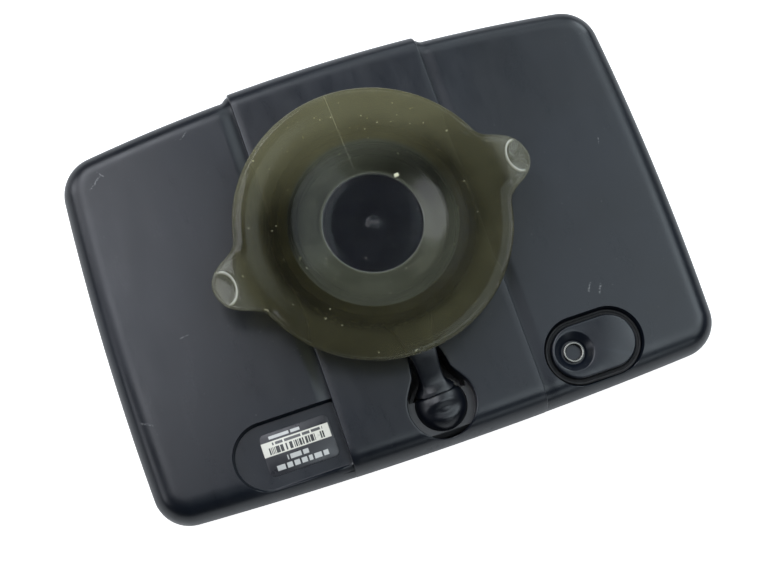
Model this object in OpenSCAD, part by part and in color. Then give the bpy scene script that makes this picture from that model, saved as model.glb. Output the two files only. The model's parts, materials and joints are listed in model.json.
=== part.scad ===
// Portable car navigation unit with a folding windscreen mount.
// It lies on its screen: +Z is out of the back, +Y towards the arched edge, and the
// mount is folded flat. The origin is the centre of the footprint, on the surface below.

/* [Housing] */
// Width at the widest line
body_w = 136.6; // [135:0.2:138]
// Height from the straight edge to the crown of the arched edge
body_h = 96.1; // [96:0.1:97]
// Radius of the arched edge
arch_r = 430; // [400:10:500]
// Radius of the nearly straight edge
foot_r = 1060; // [900:20:1200]
// Radius of the slightly bowed sides
side_r = 665; // [600:5:800]
// Place of the widest line from the footprint's centre
side_y = -11; // [-14:1:-8]
// Height of the wings' back surface
back_z = 15.6; // [15.6:0.1:15.8]
// Height of the spine's back surface
spine_z = 16.6; // [16.6:0.1:16.6]
// Wall thickness of the sides
wall = 2.0; // [1.8:0.1:2.0]
// Height of the line where the front and back mouldings meet
parting_z = 5.5; // [5.5:0.1:5.6]
// Half width of the spine
spine_half = 23.2; // [22:0.1:24]

/* [Screen] */
// Width of the window
window_w = 111; // [108:1:113]
// Height of the window
window_h = 66; // [62:1:68]
// Shift of the window towards the straight edge
window_shift = 1.5; // [1:0.1:2]

/* [Ball joint] */
// Radius of the ball
ball_r = 6.2; // [6:0.1:6.3]
// Place of the ball from the footprint's centre
ball_y = -39.0; // [-39.2:0.1:-38.8]
// Height of the ball's centre
ball_z = 11.8; // [11.8:0.1:12]
// Angle at which the folded arm stands off its centred place, in degrees
mount_yaw = 3; // [0:0.5:3]

/* [Mount] */
// Distance from the ball to the cup's axis
arm_len = 42.3; // [42:0.1:43]
// Radius of the suction cup
cup_r = 31.4; // [30:0.1:33]
// Height of the cup's rim
cup_z = 28; // [28:0.1:29]
// Travel of the plunger as the lock ring turns a quarter
pull = 1.5; // [1:0.1:1.5]

/* [Hidden] */
$fn = 64;
e = 0.01;

black = [0.10, 0.105, 0.125];
rubber = [0.06, 0.06, 0.065];
steel = [0.72, 0.72, 0.74];

// Housing outline
crown = body_h / 2;
wing_crown = crown - 1.35;
wing_foot = -crown + 0.05;
slot_crown = wing_crown + 0.8;
wide_z = 7.5;
top_corner = 9.3;
foot_corner = 8.3;
edge = 6;
squareness = 0.8;
roof = 2.0;
skin = 1.2;
gap = 0.1;
pocket_t = 1.2;
valley_x = 2.05;
valley_z = 2.2;
valley_r = 3;

// Screen stack
lip = 0.8;
touch_z = lip + 0.05;
touch_t = 1.1;
lcd_z = touch_z + touch_t + 0.05;
lcd_t = 2.6;
lcd_w = 120;
lcd_h = 75;
frame_z = lcd_z + lcd_t + 0.05;
frame_t = 0.4;

// Boards
board_z = 6.4;
board_t = 1.2;
board_top = board_z + board_t;
pad_t = 0.5;
case_screw_at = [[17, 40], [-17, 40], [17, -43], [-17, -43]];
board_screw_at = [[-54, 30], [54, 30], [-54, -24], [54, -24]];
head_z = 12.2;
boss_r = 3;
boss_top = 14.2;

// Edge openings
port_x = -34;
button_x = 34;
port_z = 9.0;
edge_y = wing_crown - button_x * button_x / (2 * arch_r);
button_sink = 0.3;

// Aerial socket panel
panel_at = [37.6, -37.7];
panel_w = 20;
panel_h = 12.5;
groove = 1.4;
panel_z = 13.1;
panel_top = back_z - 0.6;
jack_at = [32.9, -37.4];

// Label
label_at = [-33.2, -37.4];
label_floor = back_z - 1.9;
pocket_end = [-40.7, -37.6];
pocket_r = 7.6;

// Ball joint
fit = 0.06;
seat_r = ball_r + fit;
socket_r = 8.0;
bore_r = 7.0;
collar_z = 10.6;
collar_top = ball_z + 1.8;
socket_z = frame_z + frame_t + 0.15;
socket_floor = 0.8;
ear_at = [[10.9, -3], [-10.9, -3], [10.9, 8.5], [-10.9, 8.5]];
ear_r = 2.3;
ear_web = 3.2;
ear_seat = 1.0;
slit_z = 3.2;
slit_w = 0.9;
slit_lean = 8;
neck_r = 3.2;
ball_thread = 1.2;
stem_angle = 28;

// Mount head, heights from the surface that the unit lies on
base_z = spine_z + 0.4;
base_r = 20;
base_floor = 0.8;
pin_r = 0.75;
pin_half = 10.2;
pin_z = base_z + base_floor + 0.05 + pin_r + pull;
web_z = pin_z + pin_r + 0.05;
web_t = 1.0;
plate_z = web_z + web_t + 0.1;
plate_floor = 0.8;
plate_r = 18.4;
disc_r = 11.4;
disc_t = 0.8;
disc_z = plate_z + plate_floor + 0.1 + pull;
plate_top = cup_z - 1.4;
bowl_r = 17;
core_r = 7.0;
stem_r = 2.6;
ring_r = 21.4;
grip_r = 23.4;
grip_top = plate_top - 0.9;
cup_centre = disc_z + disc_t + 0.8;
tab_angle = 3.5;
tab_reach = 33.0;
tab_r = 5.8;
dimple_r = 5;

// ---- outline of the housing ----

function on_circle(c, r, a) = c + r * [cos(a), sin(a)];
function arc(c, r, a0, a1, n) = [for (i = [0:n]) on_circle(c, r, a0 + (a1 - a0) * i / n)];
function inner_arc(c, r, a0, a1, n) = [for (i = [1:n - 1]) on_circle(c, r, a0 + (a1 - a0) * i / n)];
function flip(p) = [-p.x, p.y];

// The point at distance p from a and distance q from b, on one side of the line between them
function meeting(a, p, b, q, side) =
    let (m = norm(b - a), u = (b - a) / m, t = (p * p - q * q + m * m) / (2 * m))
    a + t * u + side * sqrt(p * p - t * t) * [-u.y, u.x];
function angle_of(v) = atan2(v.y, v.x);

// The rounded outline, drawn in by inset, with its crown at yt and its foot at yb
function outline(inset, yt, yb) =
    let (
        ca = [0, yt - arch_r],
        cf = [0, yb + foot_r],
        cs = [body_w / 2 - side_r, side_y],
        ct = meeting(ca, arch_r - top_corner, cs, side_r - top_corner, -1),
        cb = meeting(cf, foot_r - foot_corner, cs, side_r - foot_corner, 1),
        at = angle_of(ct - ca),
        ab = angle_of(cb - cf),
        st = angle_of(ct - cs),
        sb = angle_of(cb - cs)
    )
    concat(
        arc(cb, foot_corner - inset, ab, sb, 6),
        inner_arc(cs, side_r - inset, sb, st, 8),
        arc(ct, top_corner - inset, st, at, 6),
        inner_arc(ca, arch_r - inset, at, 180 - at, 14),
        arc(flip(ct), top_corner - inset, 180 - at, 180 - st, 6),
        inner_arc(flip(cs), side_r - inset, 180 - st, 180 - sb, 8),
        arc(flip(cb), foot_corner - inset, 180 - sb, 180 - ab, 6),
        inner_arc(cf, foot_r - inset, 180 - ab, 360 + ab, 8)
    );

// Heights and insets of an edge that rounds over from z0 to z1
function rounding(z0, z1, depth, n) = [
    for (k = [0:n]) let (a = 90 * k / n)
        [z0 + (z1 - z0) * pow(sin(a), squareness), depth * (1 - pow(cos(a), squareness))]
];
function drawn_in(levels, by) = [for (l = levels) [l[0], l[1] + by]];

// Levels from a straight wall at z0 up over an edge to z1, drawn in by inset
function body_levels(z0, z1, inset, n) =
    concat([[z0, inset + 0.3]], drawn_in(rounding(wide_z, z1, edge, n), inset));

module loft(levels, yt, yb) {
    rings = [for (l = levels) [for (p = outline(l[1], yt, yb)) [p.x, p.y, l[0]]]];
    n = len(rings[0]);
    m = len(rings);
    polyhedron(
        points = [for (r = rings, p = r) p],
        faces = concat(
            [[for (i = [0:n - 1]) i]],
            [for (k = [0:m - 2], i = [0:n - 1])
                [k * n + i, (k + 1) * n + i, (k + 1) * n + (i + 1) % n, k * n + (i + 1) % n]],
            [[for (i = [n - 1:-1:0]) (m - 1) * n + i]]
        ),
        convexity = 4
    );
}

module pill(w, h, t) {
    linear_extrude(t) {
        square([w - h, h], center = true);
        for (s = [-1, 1]) translate([s * (w - h) / 2, 0]) circle(d = h);
    }
}

module rounded_plate(w, h, t, r) {
    linear_extrude(t) {
        square([w - 2 * r, h], center = true);
        square([w, h - 2 * r], center = true);
        for (sx = [-1, 1], sy = [-1, 1])
            translate([sx * (w / 2 - r), sy * (h / 2 - r)]) circle(r, $fn = 32);
    }
}

module at_each(places) {
    for (p = places) translate([p.x, p.y, 0]) children();
}

// Frame of the ball: y runs along the folded arm
module at_ball() {
    translate([0, ball_y, ball_z]) rotate([0, 0, mount_yaw]) children();
}

// Frame of the cup's axis, with heights from the surface below
module at_head() {
    at_ball() translate([0, arm_len, -ball_z]) children();
}

// ---- housing ----

wing_levels = body_levels(parting_z, back_z, 0, 6);
spine_levels = body_levels(parting_z + 0.2, spine_z, 0, 6);
spine_under = body_levels(parting_z - 1, spine_z - skin, skin, 6);
cover_band = body_levels(parting_z - 2, spine_z - skin - gap, skin + gap, 6);
cavity_levels = body_levels(parting_z - 1, back_z - roof, wall, 5);

// Opening over the ball, with the channel that the folded arm lies in
module ball_opening(grow) {
    translate([0, ball_y, ball_z - 1]) {
        linear_extrude(20) {
            hull() {
                circle(7.8 + grow);
                translate([0, 5.4]) circle(4.9 + grow);
            }
            hull() {
                translate([0, 5.4]) circle(4.9 + grow);
                translate([0, 10.4]) circle(3.9 + grow);
            }
        }
    }
}

// Recess for the label, round at its outer end and open towards the spine
module label_pocket() {
    translate([pocket_end.x, pocket_end.y, label_floor]) linear_extrude(5) {
        circle(pocket_r);
        translate([0, -pocket_r]) square([-pocket_end.x - spine_half, 2 * pocket_r]);
    }
}

// The room that the spine cover takes
module spine_slot() {
    difference() {
        translate([-spine_half - gap, -body_h, parting_z - 1])
            cube([2 * (spine_half + gap), 2 * body_h, 30]);
        loft(cover_band, slot_crown, -crown);
    }
}

module speaker_holes() {
    for (i = [-2:2]) translate([0, 8 + 3.4 * i, 12]) pill(18 - 2 * abs(i), 1.5, 6);
}

module back_cover() color(black) difference() {
    loft(wing_levels, wing_crown, wing_foot);
    difference() {
        loft(cavity_levels, wing_crown, wing_foot);
        at_each(case_screw_at) translate([0, 0, parting_z + 0.1])
            cylinder(h = boss_top - parting_z - 0.1, r = boss_r);
        translate([label_at.x, label_at.y, label_floor - pocket_t]) rounded_plate(27, 17.5, 5, 2);
        translate([panel_at.x, panel_at.y, panel_z - pocket_t]) pill(26, 17.5, 5);
    }
    spine_slot();
    for (s = [-1, 1]) translate([s * (spine_half + valley_x), 0, back_z + valley_z])
        rotate([90, 0, 0]) cylinder(h = 2 * body_h, r = valley_r, center = true);
    label_pocket();
    translate([panel_at.x, panel_at.y, panel_z])
        pill(panel_w + 2 * groove + 0.2, panel_h + 2 * groove + 0.2, 5);
    translate([jack_at.x, jack_at.y, 8]) cylinder(h = 6, r = 2.9);
    ball_opening(0.5);
    translate([0, ball_y, 0]) socket_envelope(0.1);
    speaker_holes();
    translate([port_x, crown, port_z]) cube([8.4, 20, 3.4], center = true);
    translate([button_x, crown + 6, port_z]) rotate([90, 0, 0]) pill(9.5, 3.7, 12);
    at_each(case_screw_at) {
        cylinder(h = 20, r = 1.15);
        translate([0, 0, head_z]) cylinder(h = 5, r = 1.9);
    }
}

module spine_cover() color(black) difference() {
    intersection() {
        difference() {
            loft(spine_levels, crown, -crown);
            loft(spine_under, slot_crown, -crown);
        }
        translate([-spine_half, -body_h, 0]) cube([2 * spine_half, 2 * body_h, 30]);
    }
    ball_opening(0);
    speaker_holes();
}

module front_bezel() color(black) {
    front_levels = [for (k = [5:-1:0]) let (a = 18 * k)
        [parting_z - gap - (parting_z - gap) * sin(a), 0.3 + 2.7 * pow(1 - cos(a), 1.3)]];
    difference() {
        loft(front_levels, wing_crown, wing_foot);
        translate([0, -window_shift, -1]) rounded_plate(window_w, window_h, 10, 1.5);
        translate([0, -window_shift, lip]) rounded_plate(lcd_w + 0.6, lcd_h + 0.6, 10, 1);
        difference() {
            translate([0, 0, 1.6]) loft([[0, 3.4], [2, 2.2], [10, 2.2]], wing_crown, wing_foot);
            translate([0, -window_shift, 0]) rounded_plate(lcd_w + 3, lcd_h + 3, 10, 2);
            at_each(case_screw_at) cylinder(h = 10, r = 2.6);
        }
        at_each(case_screw_at) translate([0, 0, 1.6]) cylinder(h = 10, r = 0.8);
        translate([0, ball_y, 0]) socket_envelope(0.2);
    }
}

// ---- screen ----

module touch_panel() color([0.05, 0.055, 0.06])
    translate([0, -window_shift, touch_z]) rounded_plate(lcd_w - 2, lcd_h - 3, touch_t, 1);

module display_module() color([0.25, 0.26, 0.28])
    translate([0, -window_shift, lcd_z]) rounded_plate(lcd_w, lcd_h, lcd_t, 0.6);

module display_frame() color(steel) translate([0, -window_shift, frame_z]) difference() {
    rounded_plate(lcd_w, lcd_h, frame_t, 0.6);
    translate([-36, 8, -1]) rounded_plate(26, 30, 3, 3);
    translate([36, 8, -1]) rounded_plate(26, 30, 3, 3);
}

module display_ribbon() color([0.72, 0.42, 0.12]) translate([-44, -22, 0]) rotate([90, 0, 90])
    linear_extrude(14) polygon([
        [-4, frame_z + frame_t], [-4, board_top + 0.9], [5, board_top + 0.9], [5, board_top + 0.1],
        [4.8, board_top + 0.1], [4.8, board_top + 0.7], [-3.8, board_top + 0.7], [-3.8, board_z - 0.4],
        [9, board_z - 0.4], [9, frame_z + frame_t],
    ]);

// ---- electronics ----

module main_board() color([0.05, 0.25, 0.16]) difference() {
    translate([0, 0, board_z]) linear_extrude(board_t) polygon([
        [-58, -29], [-15, -29], [-15, -24], [15, -24], [15, -29], [26, -29], [26, -42], [44, -42],
        [44, -29], [58, -29], [58, 33], [44, 38.5], [-44, 38.5], [-58, 33],
    ]);
    translate([-44, -26.2, 0]) cube([14.4, 1.2, 20]);
    at_each(board_screw_at) cylinder(h = 20, r = 1.1);
    at_each(case_screw_at) cylinder(h = 20, r = 3.4);
}

module board_chips() color([0.08, 0.08, 0.09]) translate([0, 0, board_top]) {
    translate([-26, -16, 0]) cube([12, 12, 1.1]);
    translate([-26, 2, 0]) cube([9, 11, 1.0]);
    translate([-12, 26, 0]) cube([7, 7, 0.9]);
    translate([-44, -12, 0]) cube([7, 5, 0.9]);
    for (i = [0:4]) translate([6 + 4 * i, 27, 0]) cube([1.6, 3.2, 1.4]);
    for (i = [0:3]) translate([-50 + 4 * i, -5.4, 0]) cube([2, 1.2, 0.8]);
}

module board_shield() color(steel) translate([-37, -1, board_top]) difference() {
    translate([-9, -1, 0]) cube([18, 15.5, 2.2]);
    translate([-8.7, -0.7, -1]) cube([17.4, 14.9, 3]);
}

module satellite_antenna() color([0.78, 0.74, 0.66]) translate([-40, 24, board_top]) difference() {
    translate([-9, -9, 0]) cube([18, 18, 3.6]);
    translate([0, 0, 3]) cylinder(h = 2, r = 1);
}

module battery() color([0.75, 0.76, 0.78])
    translate([45, 2, board_top + pad_t]) rounded_plate(32, 46, 4.6, 1.5);

module battery_pad() color([0.2, 0.2, 0.22])
    translate([45, 2, board_top]) rounded_plate(26, 40, pad_t, 1);

module speaker() color([0.15, 0.15, 0.16]) translate([0, 8, 0]) difference() {
    union() {
        translate([0, 0, board_top + 0.2]) cylinder(h = 2.4, r = 9);
        translate([0, 0, board_top + 2.6]) cylinder(h = 2.6, r = 14);
    }
    translate([0, 0, board_top + 4]) cylinder(h = 3, r1 = 6, r2 = 12.5);
}

module speaker_gasket() color(rubber) translate([0, 8, board_top + 5.2]) difference() {
    cylinder(h = 0.7, r = 14);
    translate([0, 0, -1]) cylinder(h = 3, r = 12.4);
}

module usb_socket() color(steel) translate([port_x, edge_y - 0.6, port_z]) rotate([90, 0, 0]) difference() {
    translate([-3.75, -1.4, 0]) cube([7.5, 2.8, 6.4]);
    translate([-3.4, -1.05, -1]) cube([6.8, 2.1, 6.2]);
    translate([0, 0, 6]) cube([1, 1, 1], center = true);
}

module power_button() color(black) translate([button_x, 0, port_z]) rotate([-90, 0, 0]) {
    translate([0, 0, edge_y - 3.4]) pill(9.1, 3.3, 3.4 - button_sink);
    translate([0, 0, edge_y - 4.2]) pill(12, 4.6, 0.9);
}

module power_switch() color([0.7, 0.7, 0.72]) {
    translate([button_x - 3, edge_y - 9, board_top]) cube([6, 3.4, 2.8]);
    translate([button_x, edge_y - 4.75, port_z]) rotate([90, 0, 0]) cylinder(h = 1, r = 1);
}

// ---- aerial socket ----

module aerial_jack() color([0.8, 0.72, 0.5]) translate([jack_at.x, jack_at.y, board_top]) difference() {
    union() {
        translate([-3.2, -3.2, 0]) cube([6.4, 6.4, 2]);
        cylinder(h = 6.4, r = 2.4);
    }
    translate([0, 0, 3]) cylinder(h = 10, r = 1.75);
    translate([0, 0, 2]) cylinder(h = 10, r = 0.6);
}

module jack_contact() color([0.85, 0.75, 0.45])
    translate([jack_at.x, jack_at.y, board_top + 2]) cylinder(h = 1, r = 0.6);

module jack_insert() color(black) difference() {
    translate([panel_at.x, panel_at.y, panel_z]) pill(panel_w, panel_h, panel_top - panel_z);
    translate([jack_at.x, jack_at.y, 0]) {
        cylinder(h = 20, r = 2.7);
        translate([0, 0, panel_top - 1.6]) cylinder(h = 1.7, r1 = 2.7, r2 = 4.5);
    }
}

module jack_seal() color(rubber) translate([panel_at.x, panel_at.y, panel_z]) difference() {
    pill(panel_w + 2 * groove, panel_h + 2 * groove, 1.0);
    translate([0, 0, -1]) pill(panel_w + 0.1, panel_h + 0.1, 5);
}

module rating_label() color([0.35, 0.35, 0.37])
    translate([label_at.x - 0.1, label_at.y, label_floor]) rounded_plate(16.2, 9.8, 0.2, 1.4);

// ---- screws ----

module screw(thread_r, length, head_r, head_t) {
    difference() {
        union() {
            cylinder(h = head_t, r = head_r, $fn = 32);
            translate([0, 0, -length]) cylinder(h = length + e, r = thread_r, $fn = 32);
        }
        for (a = [0, 90]) rotate([0, 0, a])
            translate([-0.7 * head_r, -0.12 * head_r, 0.4 * head_t])
                cube([1.4 * head_r, 0.24 * head_r, head_t]);
    }
}

module case_screws() color(steel) at_each(case_screw_at)
    translate([0, 0, head_z]) screw(0.78, 9.9, 1.7, 1.1);

module board_screws() color(steel) at_each(board_screw_at)
    translate([0, 0, board_top]) screw(0.9, board_top - frame_z - frame_t, 1.8, 0.8);

// ---- ball joint ----

// The room that the ball's socket takes in the housing
module socket_envelope(grow) {
    tall = collar_top - frame_z - frame_t + 2 * grow;
    translate([0, 0, frame_z + frame_t - grow]) {
        cylinder(h = tall, r = socket_r + grow);
        translate([-socket_r - grow, 0, 0]) cube([2 * (socket_r + grow), 12.6 + grow, tall]);
        for (p = ear_at) translate([p.x, p.y, 0]) {
            cylinder(h = tall, r = ear_r + 0.1 + grow);
            translate([p.x > 0 ? -ear_web - grow : -grow, -2 - grow, 0])
                cube([ear_web + 2 * grow, 4 + 2 * grow, tall]);
        }
    }
}

module ears(z0, z1, hole) {
    for (p = ear_at) translate([p.x, p.y, z0]) difference() {
        union() {
            cylinder(h = z1 - z0, r = ear_r, $fn = 32);
            translate([p.x > 0 ? -ear_web : 0, -2, 0]) cube([ear_web, 4, z1 - z0]);
        }
        translate([0, 0, -1]) cylinder(h = z1 - z0 + 2, r = hole, $fn = 32);
    }
}

// A slab of the socket between two heights, kept clear of the spine cover
module socket_block(z0, z1) {
    intersection() {
        translate([0, ball_y, z0]) {
            cylinder(h = z1 - z0, r = socket_r);
            translate([-socket_r, 0, 0]) cube([2 * socket_r, 12.4, z1 - z0]);
        }
        loft(cover_band, slot_crown, -crown);
    }
}

module ball_socket() color(black) {
    difference() {
        socket_block(socket_z, collar_z);
        translate([0, ball_y, 0]) {
            translate([0, 0, socket_z + socket_floor]) cylinder(h = 20, r = bore_r);
            cylinder(h = 20, r = 4.4);
            translate([-6.8, 3, socket_z + socket_floor]) cube([13.6, 8.2, 20]);
        }
    }
    translate([0, ball_y, 0]) difference() {
        ears(socket_z, collar_z, 1.05);
        at_each(ear_at) cylinder(h = socket_z + ear_seat, r = 1.7, $fn = 32);
    }
}

module socket_collar() color(black) {
    difference() {
        socket_block(collar_z, collar_top);
        translate([0, ball_y, ball_z]) sphere(seat_r);
        translate([-6.8, ball_y + 2.4, 0]) cube([13.6, 12, 20]);
    }
    translate([0, ball_y, 0]) ears(collar_z, collar_top, 0.8);
}

module socket_screws() color(steel) translate([0, ball_y, 0]) for (p = ear_at)
    translate([p.x, p.y, socket_z + ear_seat]) mirror([0, 0, 1]) screw(0.78, 7.2, 1.6, 0.9);

module swivel_seat() color([0.3, 0.3, 0.32]) translate([0, ball_y, 0]) difference() {
    translate([0, 0, socket_z + socket_floor + 0.05])
        cylinder(h = collar_z - socket_z - socket_floor - 0.1, r = bore_r - 0.05);
    translate([0, 0, ball_z]) sphere(seat_r);
    translate([0, 0, 1]) cylinder(h = 10, r = 4.2);
}

// Frame of the ball's own axis: z runs from the cap through the slit towards the arm
module at_ball_axis() {
    at_ball() rotate([slit_lean - 90, 0, 0]) children();
}

// The slice of the ball between two heights on its axis
module ball_slice(z0, z1) {
    rotate_extrude() intersection() {
        circle(ball_r, $fn = 128);
        translate([0, z0]) square([ball_r + 1, z1 - z0]);
    }
}

module swivel_ball() color(black) at_ball_axis() difference() {
    ball_slice(-ball_r - 1, slit_z);
    translate([0, 0, -8]) cylinder(h = 20, r = 1.3);
    translate([0, 0, -8]) cylinder(h = 3.8, r = 2.2);
}

module ball_ring() color(rubber) at_ball_axis() translate([0, 0, slit_z]) difference() {
    cylinder(h = slit_w, r = 4.5);
    translate([0, 0, -1]) cylinder(h = slit_w + 2, r = neck_r);
}

module ball_screw() color(steel) at_ball_axis()
    translate([0, 0, -4.2]) mirror([0, 0, 1]) screw(ball_thread, 9.6, 2.0, 1.2);

// ---- arm and head ----

// A flat slice of the arm at y, z in the ball's frame, w wide and t thick
module arm_slice(y, z, w, t, lean) {
    translate([0, y, z]) rotate([90 + lean, 0, 0]) linear_extrude(e, center = true) {
        square([w - t, t], center = true);
        for (s = [-1, 1]) translate([s * (w - t) / 2, 0]) circle(d = t, $fn = 24);
    }
}

// The stem from inside the ball to the mount's base
module stem() {
    arm_z = base_z + 1.95 - ball_z;
    hull() {
        rotate([stem_angle, 0, 0]) translate([0, 4.6, 0]) rotate([90, 0, 0])
            cylinder(h = 0.4, r = 3.6, $fn = 32);
        arm_slice(7.4, 3.9, 5.6, 4.4, stem_angle);
    }
    hull() {
        arm_slice(7.4, 3.9, 5.6, 4.4, stem_angle);
        arm_slice(12.6, arm_z - 0.3, 6.6, 3.8, stem_angle / 2);
    }
    hull() {
        arm_slice(12.6, arm_z - 0.3, 6.6, 3.8, stem_angle / 2);
        arm_slice(arm_len - base_r + 1.4, arm_z, 13, 3.4, 0);
    }
}

module mount_arm() color(black) {
    difference() {
        union() {
            at_ball_axis() {
                ball_slice(slit_z + slit_w, ball_r + 1);
                translate([0, 0, slit_z + e]) cylinder(h = slit_w + 0.5, r = neck_r - e);
            }
            difference() {
                at_ball() stem();
                at_ball_axis() translate([0, 0, -8]) cylinder(h = 8 + slit_z + slit_w + 0.05, r = 8);
            }
        }
        at_ball_axis() translate([0, 0, -8]) cylinder(h = 14, r = ball_thread + 0.02);
    }
    at_head() difference() {
        translate([0, 0, base_z]) cylinder(h = web_z - 0.15 - base_z, r = base_r, $fn = 96);
        translate([0, 0, base_z + base_floor]) cylinder(h = 10, r = pin_half + 0.6);
        translate([0, 0, base_z + base_floor + 0.4]) difference() {
            cylinder(h = 10, r = base_r - 1.4);
            translate([0, 0, -1]) cylinder(h = 12, r = pin_half + 2);
        }
        cylinder(h = 40, r = 3.0);
        for (s = [-1, 1]) translate([0, 5 * s, 0]) {
            cylinder(h = 40, r = 1.05);
            translate([0, 0, base_z - 1]) cylinder(h = 1.45, r = 1.75);
        }
    }
}

module pressure_plate() color(black) at_head() difference() {
    union() {
        translate([0, 0, plate_z]) cylinder(h = plate_top - plate_z, r = plate_r, $fn = 96);
        translate([0, 0, base_z + base_floor]) cylinder(h = plate_z - base_z - base_floor + e, r = core_r);
    }
    translate([0, 0, plate_z + plate_floor]) cylinder(h = 10, r = bowl_r);
    cylinder(h = 40, r = stem_r + fit);
    translate([-10, -pin_r - 0.1, 0]) cube([20, 2 * (pin_r + 0.1), web_z]);
    for (s = [-1, 1]) translate([0, 5 * s, 0]) cylinder(h = plate_z - 0.6, r = 0.8);
}

module head_screws() color(steel) at_head() for (s = [-1, 1])
    translate([0, 5 * s, base_z + 0.45]) mirror([0, 0, 1]) screw(0.78, 3.6, 1.6, 0.4);

// ---- lock ----

// A ramp that hangs from the web, deepening through a quarter turn clockwise and then level
module cam_ramp() {
    steps = 10;
    sweep = 100;
    r0 = core_r + fit + 0.1;
    r1 = pin_half + 0.3;
    rings = [for (i = [0:steps]) let (
            a = -sweep * i / steps,
            d = min(pull, pull * -a / 90),
            z = web_z - d
        ) [
            [r0 * cos(a), r0 * sin(a), z], [r1 * cos(a), r1 * sin(a), z],
            [r1 * cos(a), r1 * sin(a), web_z + 0.3], [r0 * cos(a), r0 * sin(a), web_z + 0.3],
        ]];
    polyhedron(
        points = [for (r = rings, p = r) p],
        faces = concat(
            [[0, 1, 2, 3]],
            [for (i = [0:steps - 1], k = [0:3])
                [4 * i + k, 4 * i + 4 + k, 4 * i + 4 + (k + 1) % 4, 4 * i + (k + 1) % 4]],
            [[4 * steps + 3, 4 * steps + 2, 4 * steps + 1, 4 * steps]]
        )
    );
}

module lock_ring() color([0.16, 0.165, 0.18]) at_head() {
    difference() {
        translate([0, 0, web_z]) cylinder(h = grip_top - web_z, r = ring_r, $fn = 96);
        translate([0, 0, web_z + web_t]) cylinder(h = 10, r = plate_r + 0.6, $fn = 96);
        cylinder(h = 40, r = core_r + fit);
    }
    for (a = [0, 180]) rotate([0, 0, a]) cam_ramp();
}

module grip_band() color(rubber) at_head() {
    ribs = 48;
    translate([0, 0, web_z]) difference() {
        cylinder(h = grip_top - web_z, r = grip_r, $fn = 96);
        translate([0, 0, -1]) cylinder(h = 20, r = ring_r, $fn = 96);
        for (i = [0:ribs - 1]) rotate([0, 0, 360 * i / ribs])
            translate([grip_r + 0.35, 0, -1]) cylinder(h = 20, r = 0.8, $fn = 16);
    }
}

module plunger() color([0.05, 0.055, 0.08]) at_head() difference() {
    union() {
        translate([0, 0, disc_z]) cylinder(h = disc_t, r = disc_r);
        translate([0, 0, base_z + 1.7]) cylinder(h = disc_z - base_z - 1.7 + e, r = stem_r);
    }
    translate([-10, 0, pin_z]) rotate([0, 90, 0]) cylinder(h = 20, r = pin_r + 0.02);
}

module cross_pin() color(steel) at_head() translate([-pin_half, 0, pin_z]) rotate([0, 90, 0])
    cylinder(h = 2 * pin_half, r = pin_r, $fn = 32);

// ---- suction cup ----

module cup_section() {
    under = disc_z + disc_t + 0.02;
    seat = plate_top + 0.05;
    polygon([
        [0, under], [disc_r + 0.3, under], [bowl_r - 0.4, seat], [plate_r, seat],
        [grip_r - 0.5, seat + 0.2],
        [cup_r - 4, seat + 0.35], [cup_r - 0.3, cup_z - 0.7], [cup_r, cup_z - 0.5], [cup_r, cup_z],
        [cup_r - 1, cup_z], [cup_r - 6, cup_z - 0.4], [plate_r, cup_z - 0.65],
        [bowl_r - 1, cup_z - 0.8], [disc_r, cup_centre], [0, cup_centre],
    ]);
}

module pull_tab() {
    tab_t = 1.1;
    translate([0, 0, cup_z - 0.3 - tab_t]) difference() {
        hull() {
            translate([tab_reach, 0, 0]) cylinder(h = tab_t, r = tab_r, $fn = 32);
            translate([cup_r - 6, 0, 0.3]) cylinder(h = tab_t - 0.4, r = 11, $fn = 48);
        }
        translate([0, 0, -5]) cylinder(h = 20, r = cup_r - 1.2, $fn = 96);
        translate([tab_reach + 1.2, 0, tab_t + dimple_r - 0.7]) sphere(dimple_r, $fn = 32);
    }
}

module suction_cup() color([0.36, 0.36, 0.24]) at_head() {
    rotate_extrude($fn = 96) cup_section();
    for (a = [0, 180]) rotate([0, 0, tab_angle + a]) pull_tab();
}

back_cover();
spine_cover();
front_bezel();
touch_panel();
display_module();
display_frame();
display_ribbon();
main_board();
board_chips();
board_shield();
satellite_antenna();
battery();
battery_pad();
speaker();
speaker_gasket();
usb_socket();
power_button();
power_switch();
aerial_jack();
jack_contact();
jack_insert();
jack_seal();
rating_label();
case_screws();
board_screws();
ball_socket();
socket_collar();
socket_screws();
swivel_seat();
swivel_ball();
ball_ring();
ball_screw();
mount_arm();
pressure_plate();
head_screws();
lock_ring();
grip_band();
plunger();
cross_pin();
suction_cup();
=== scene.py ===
"""Looks of a portable navigation unit that lies on its screen with its suction mount folded."""
import json
import math

import bmesh
import bpy
from mathutils import Matrix, Vector
from mathutils.geometry import delaunay_2d_cdt


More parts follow.
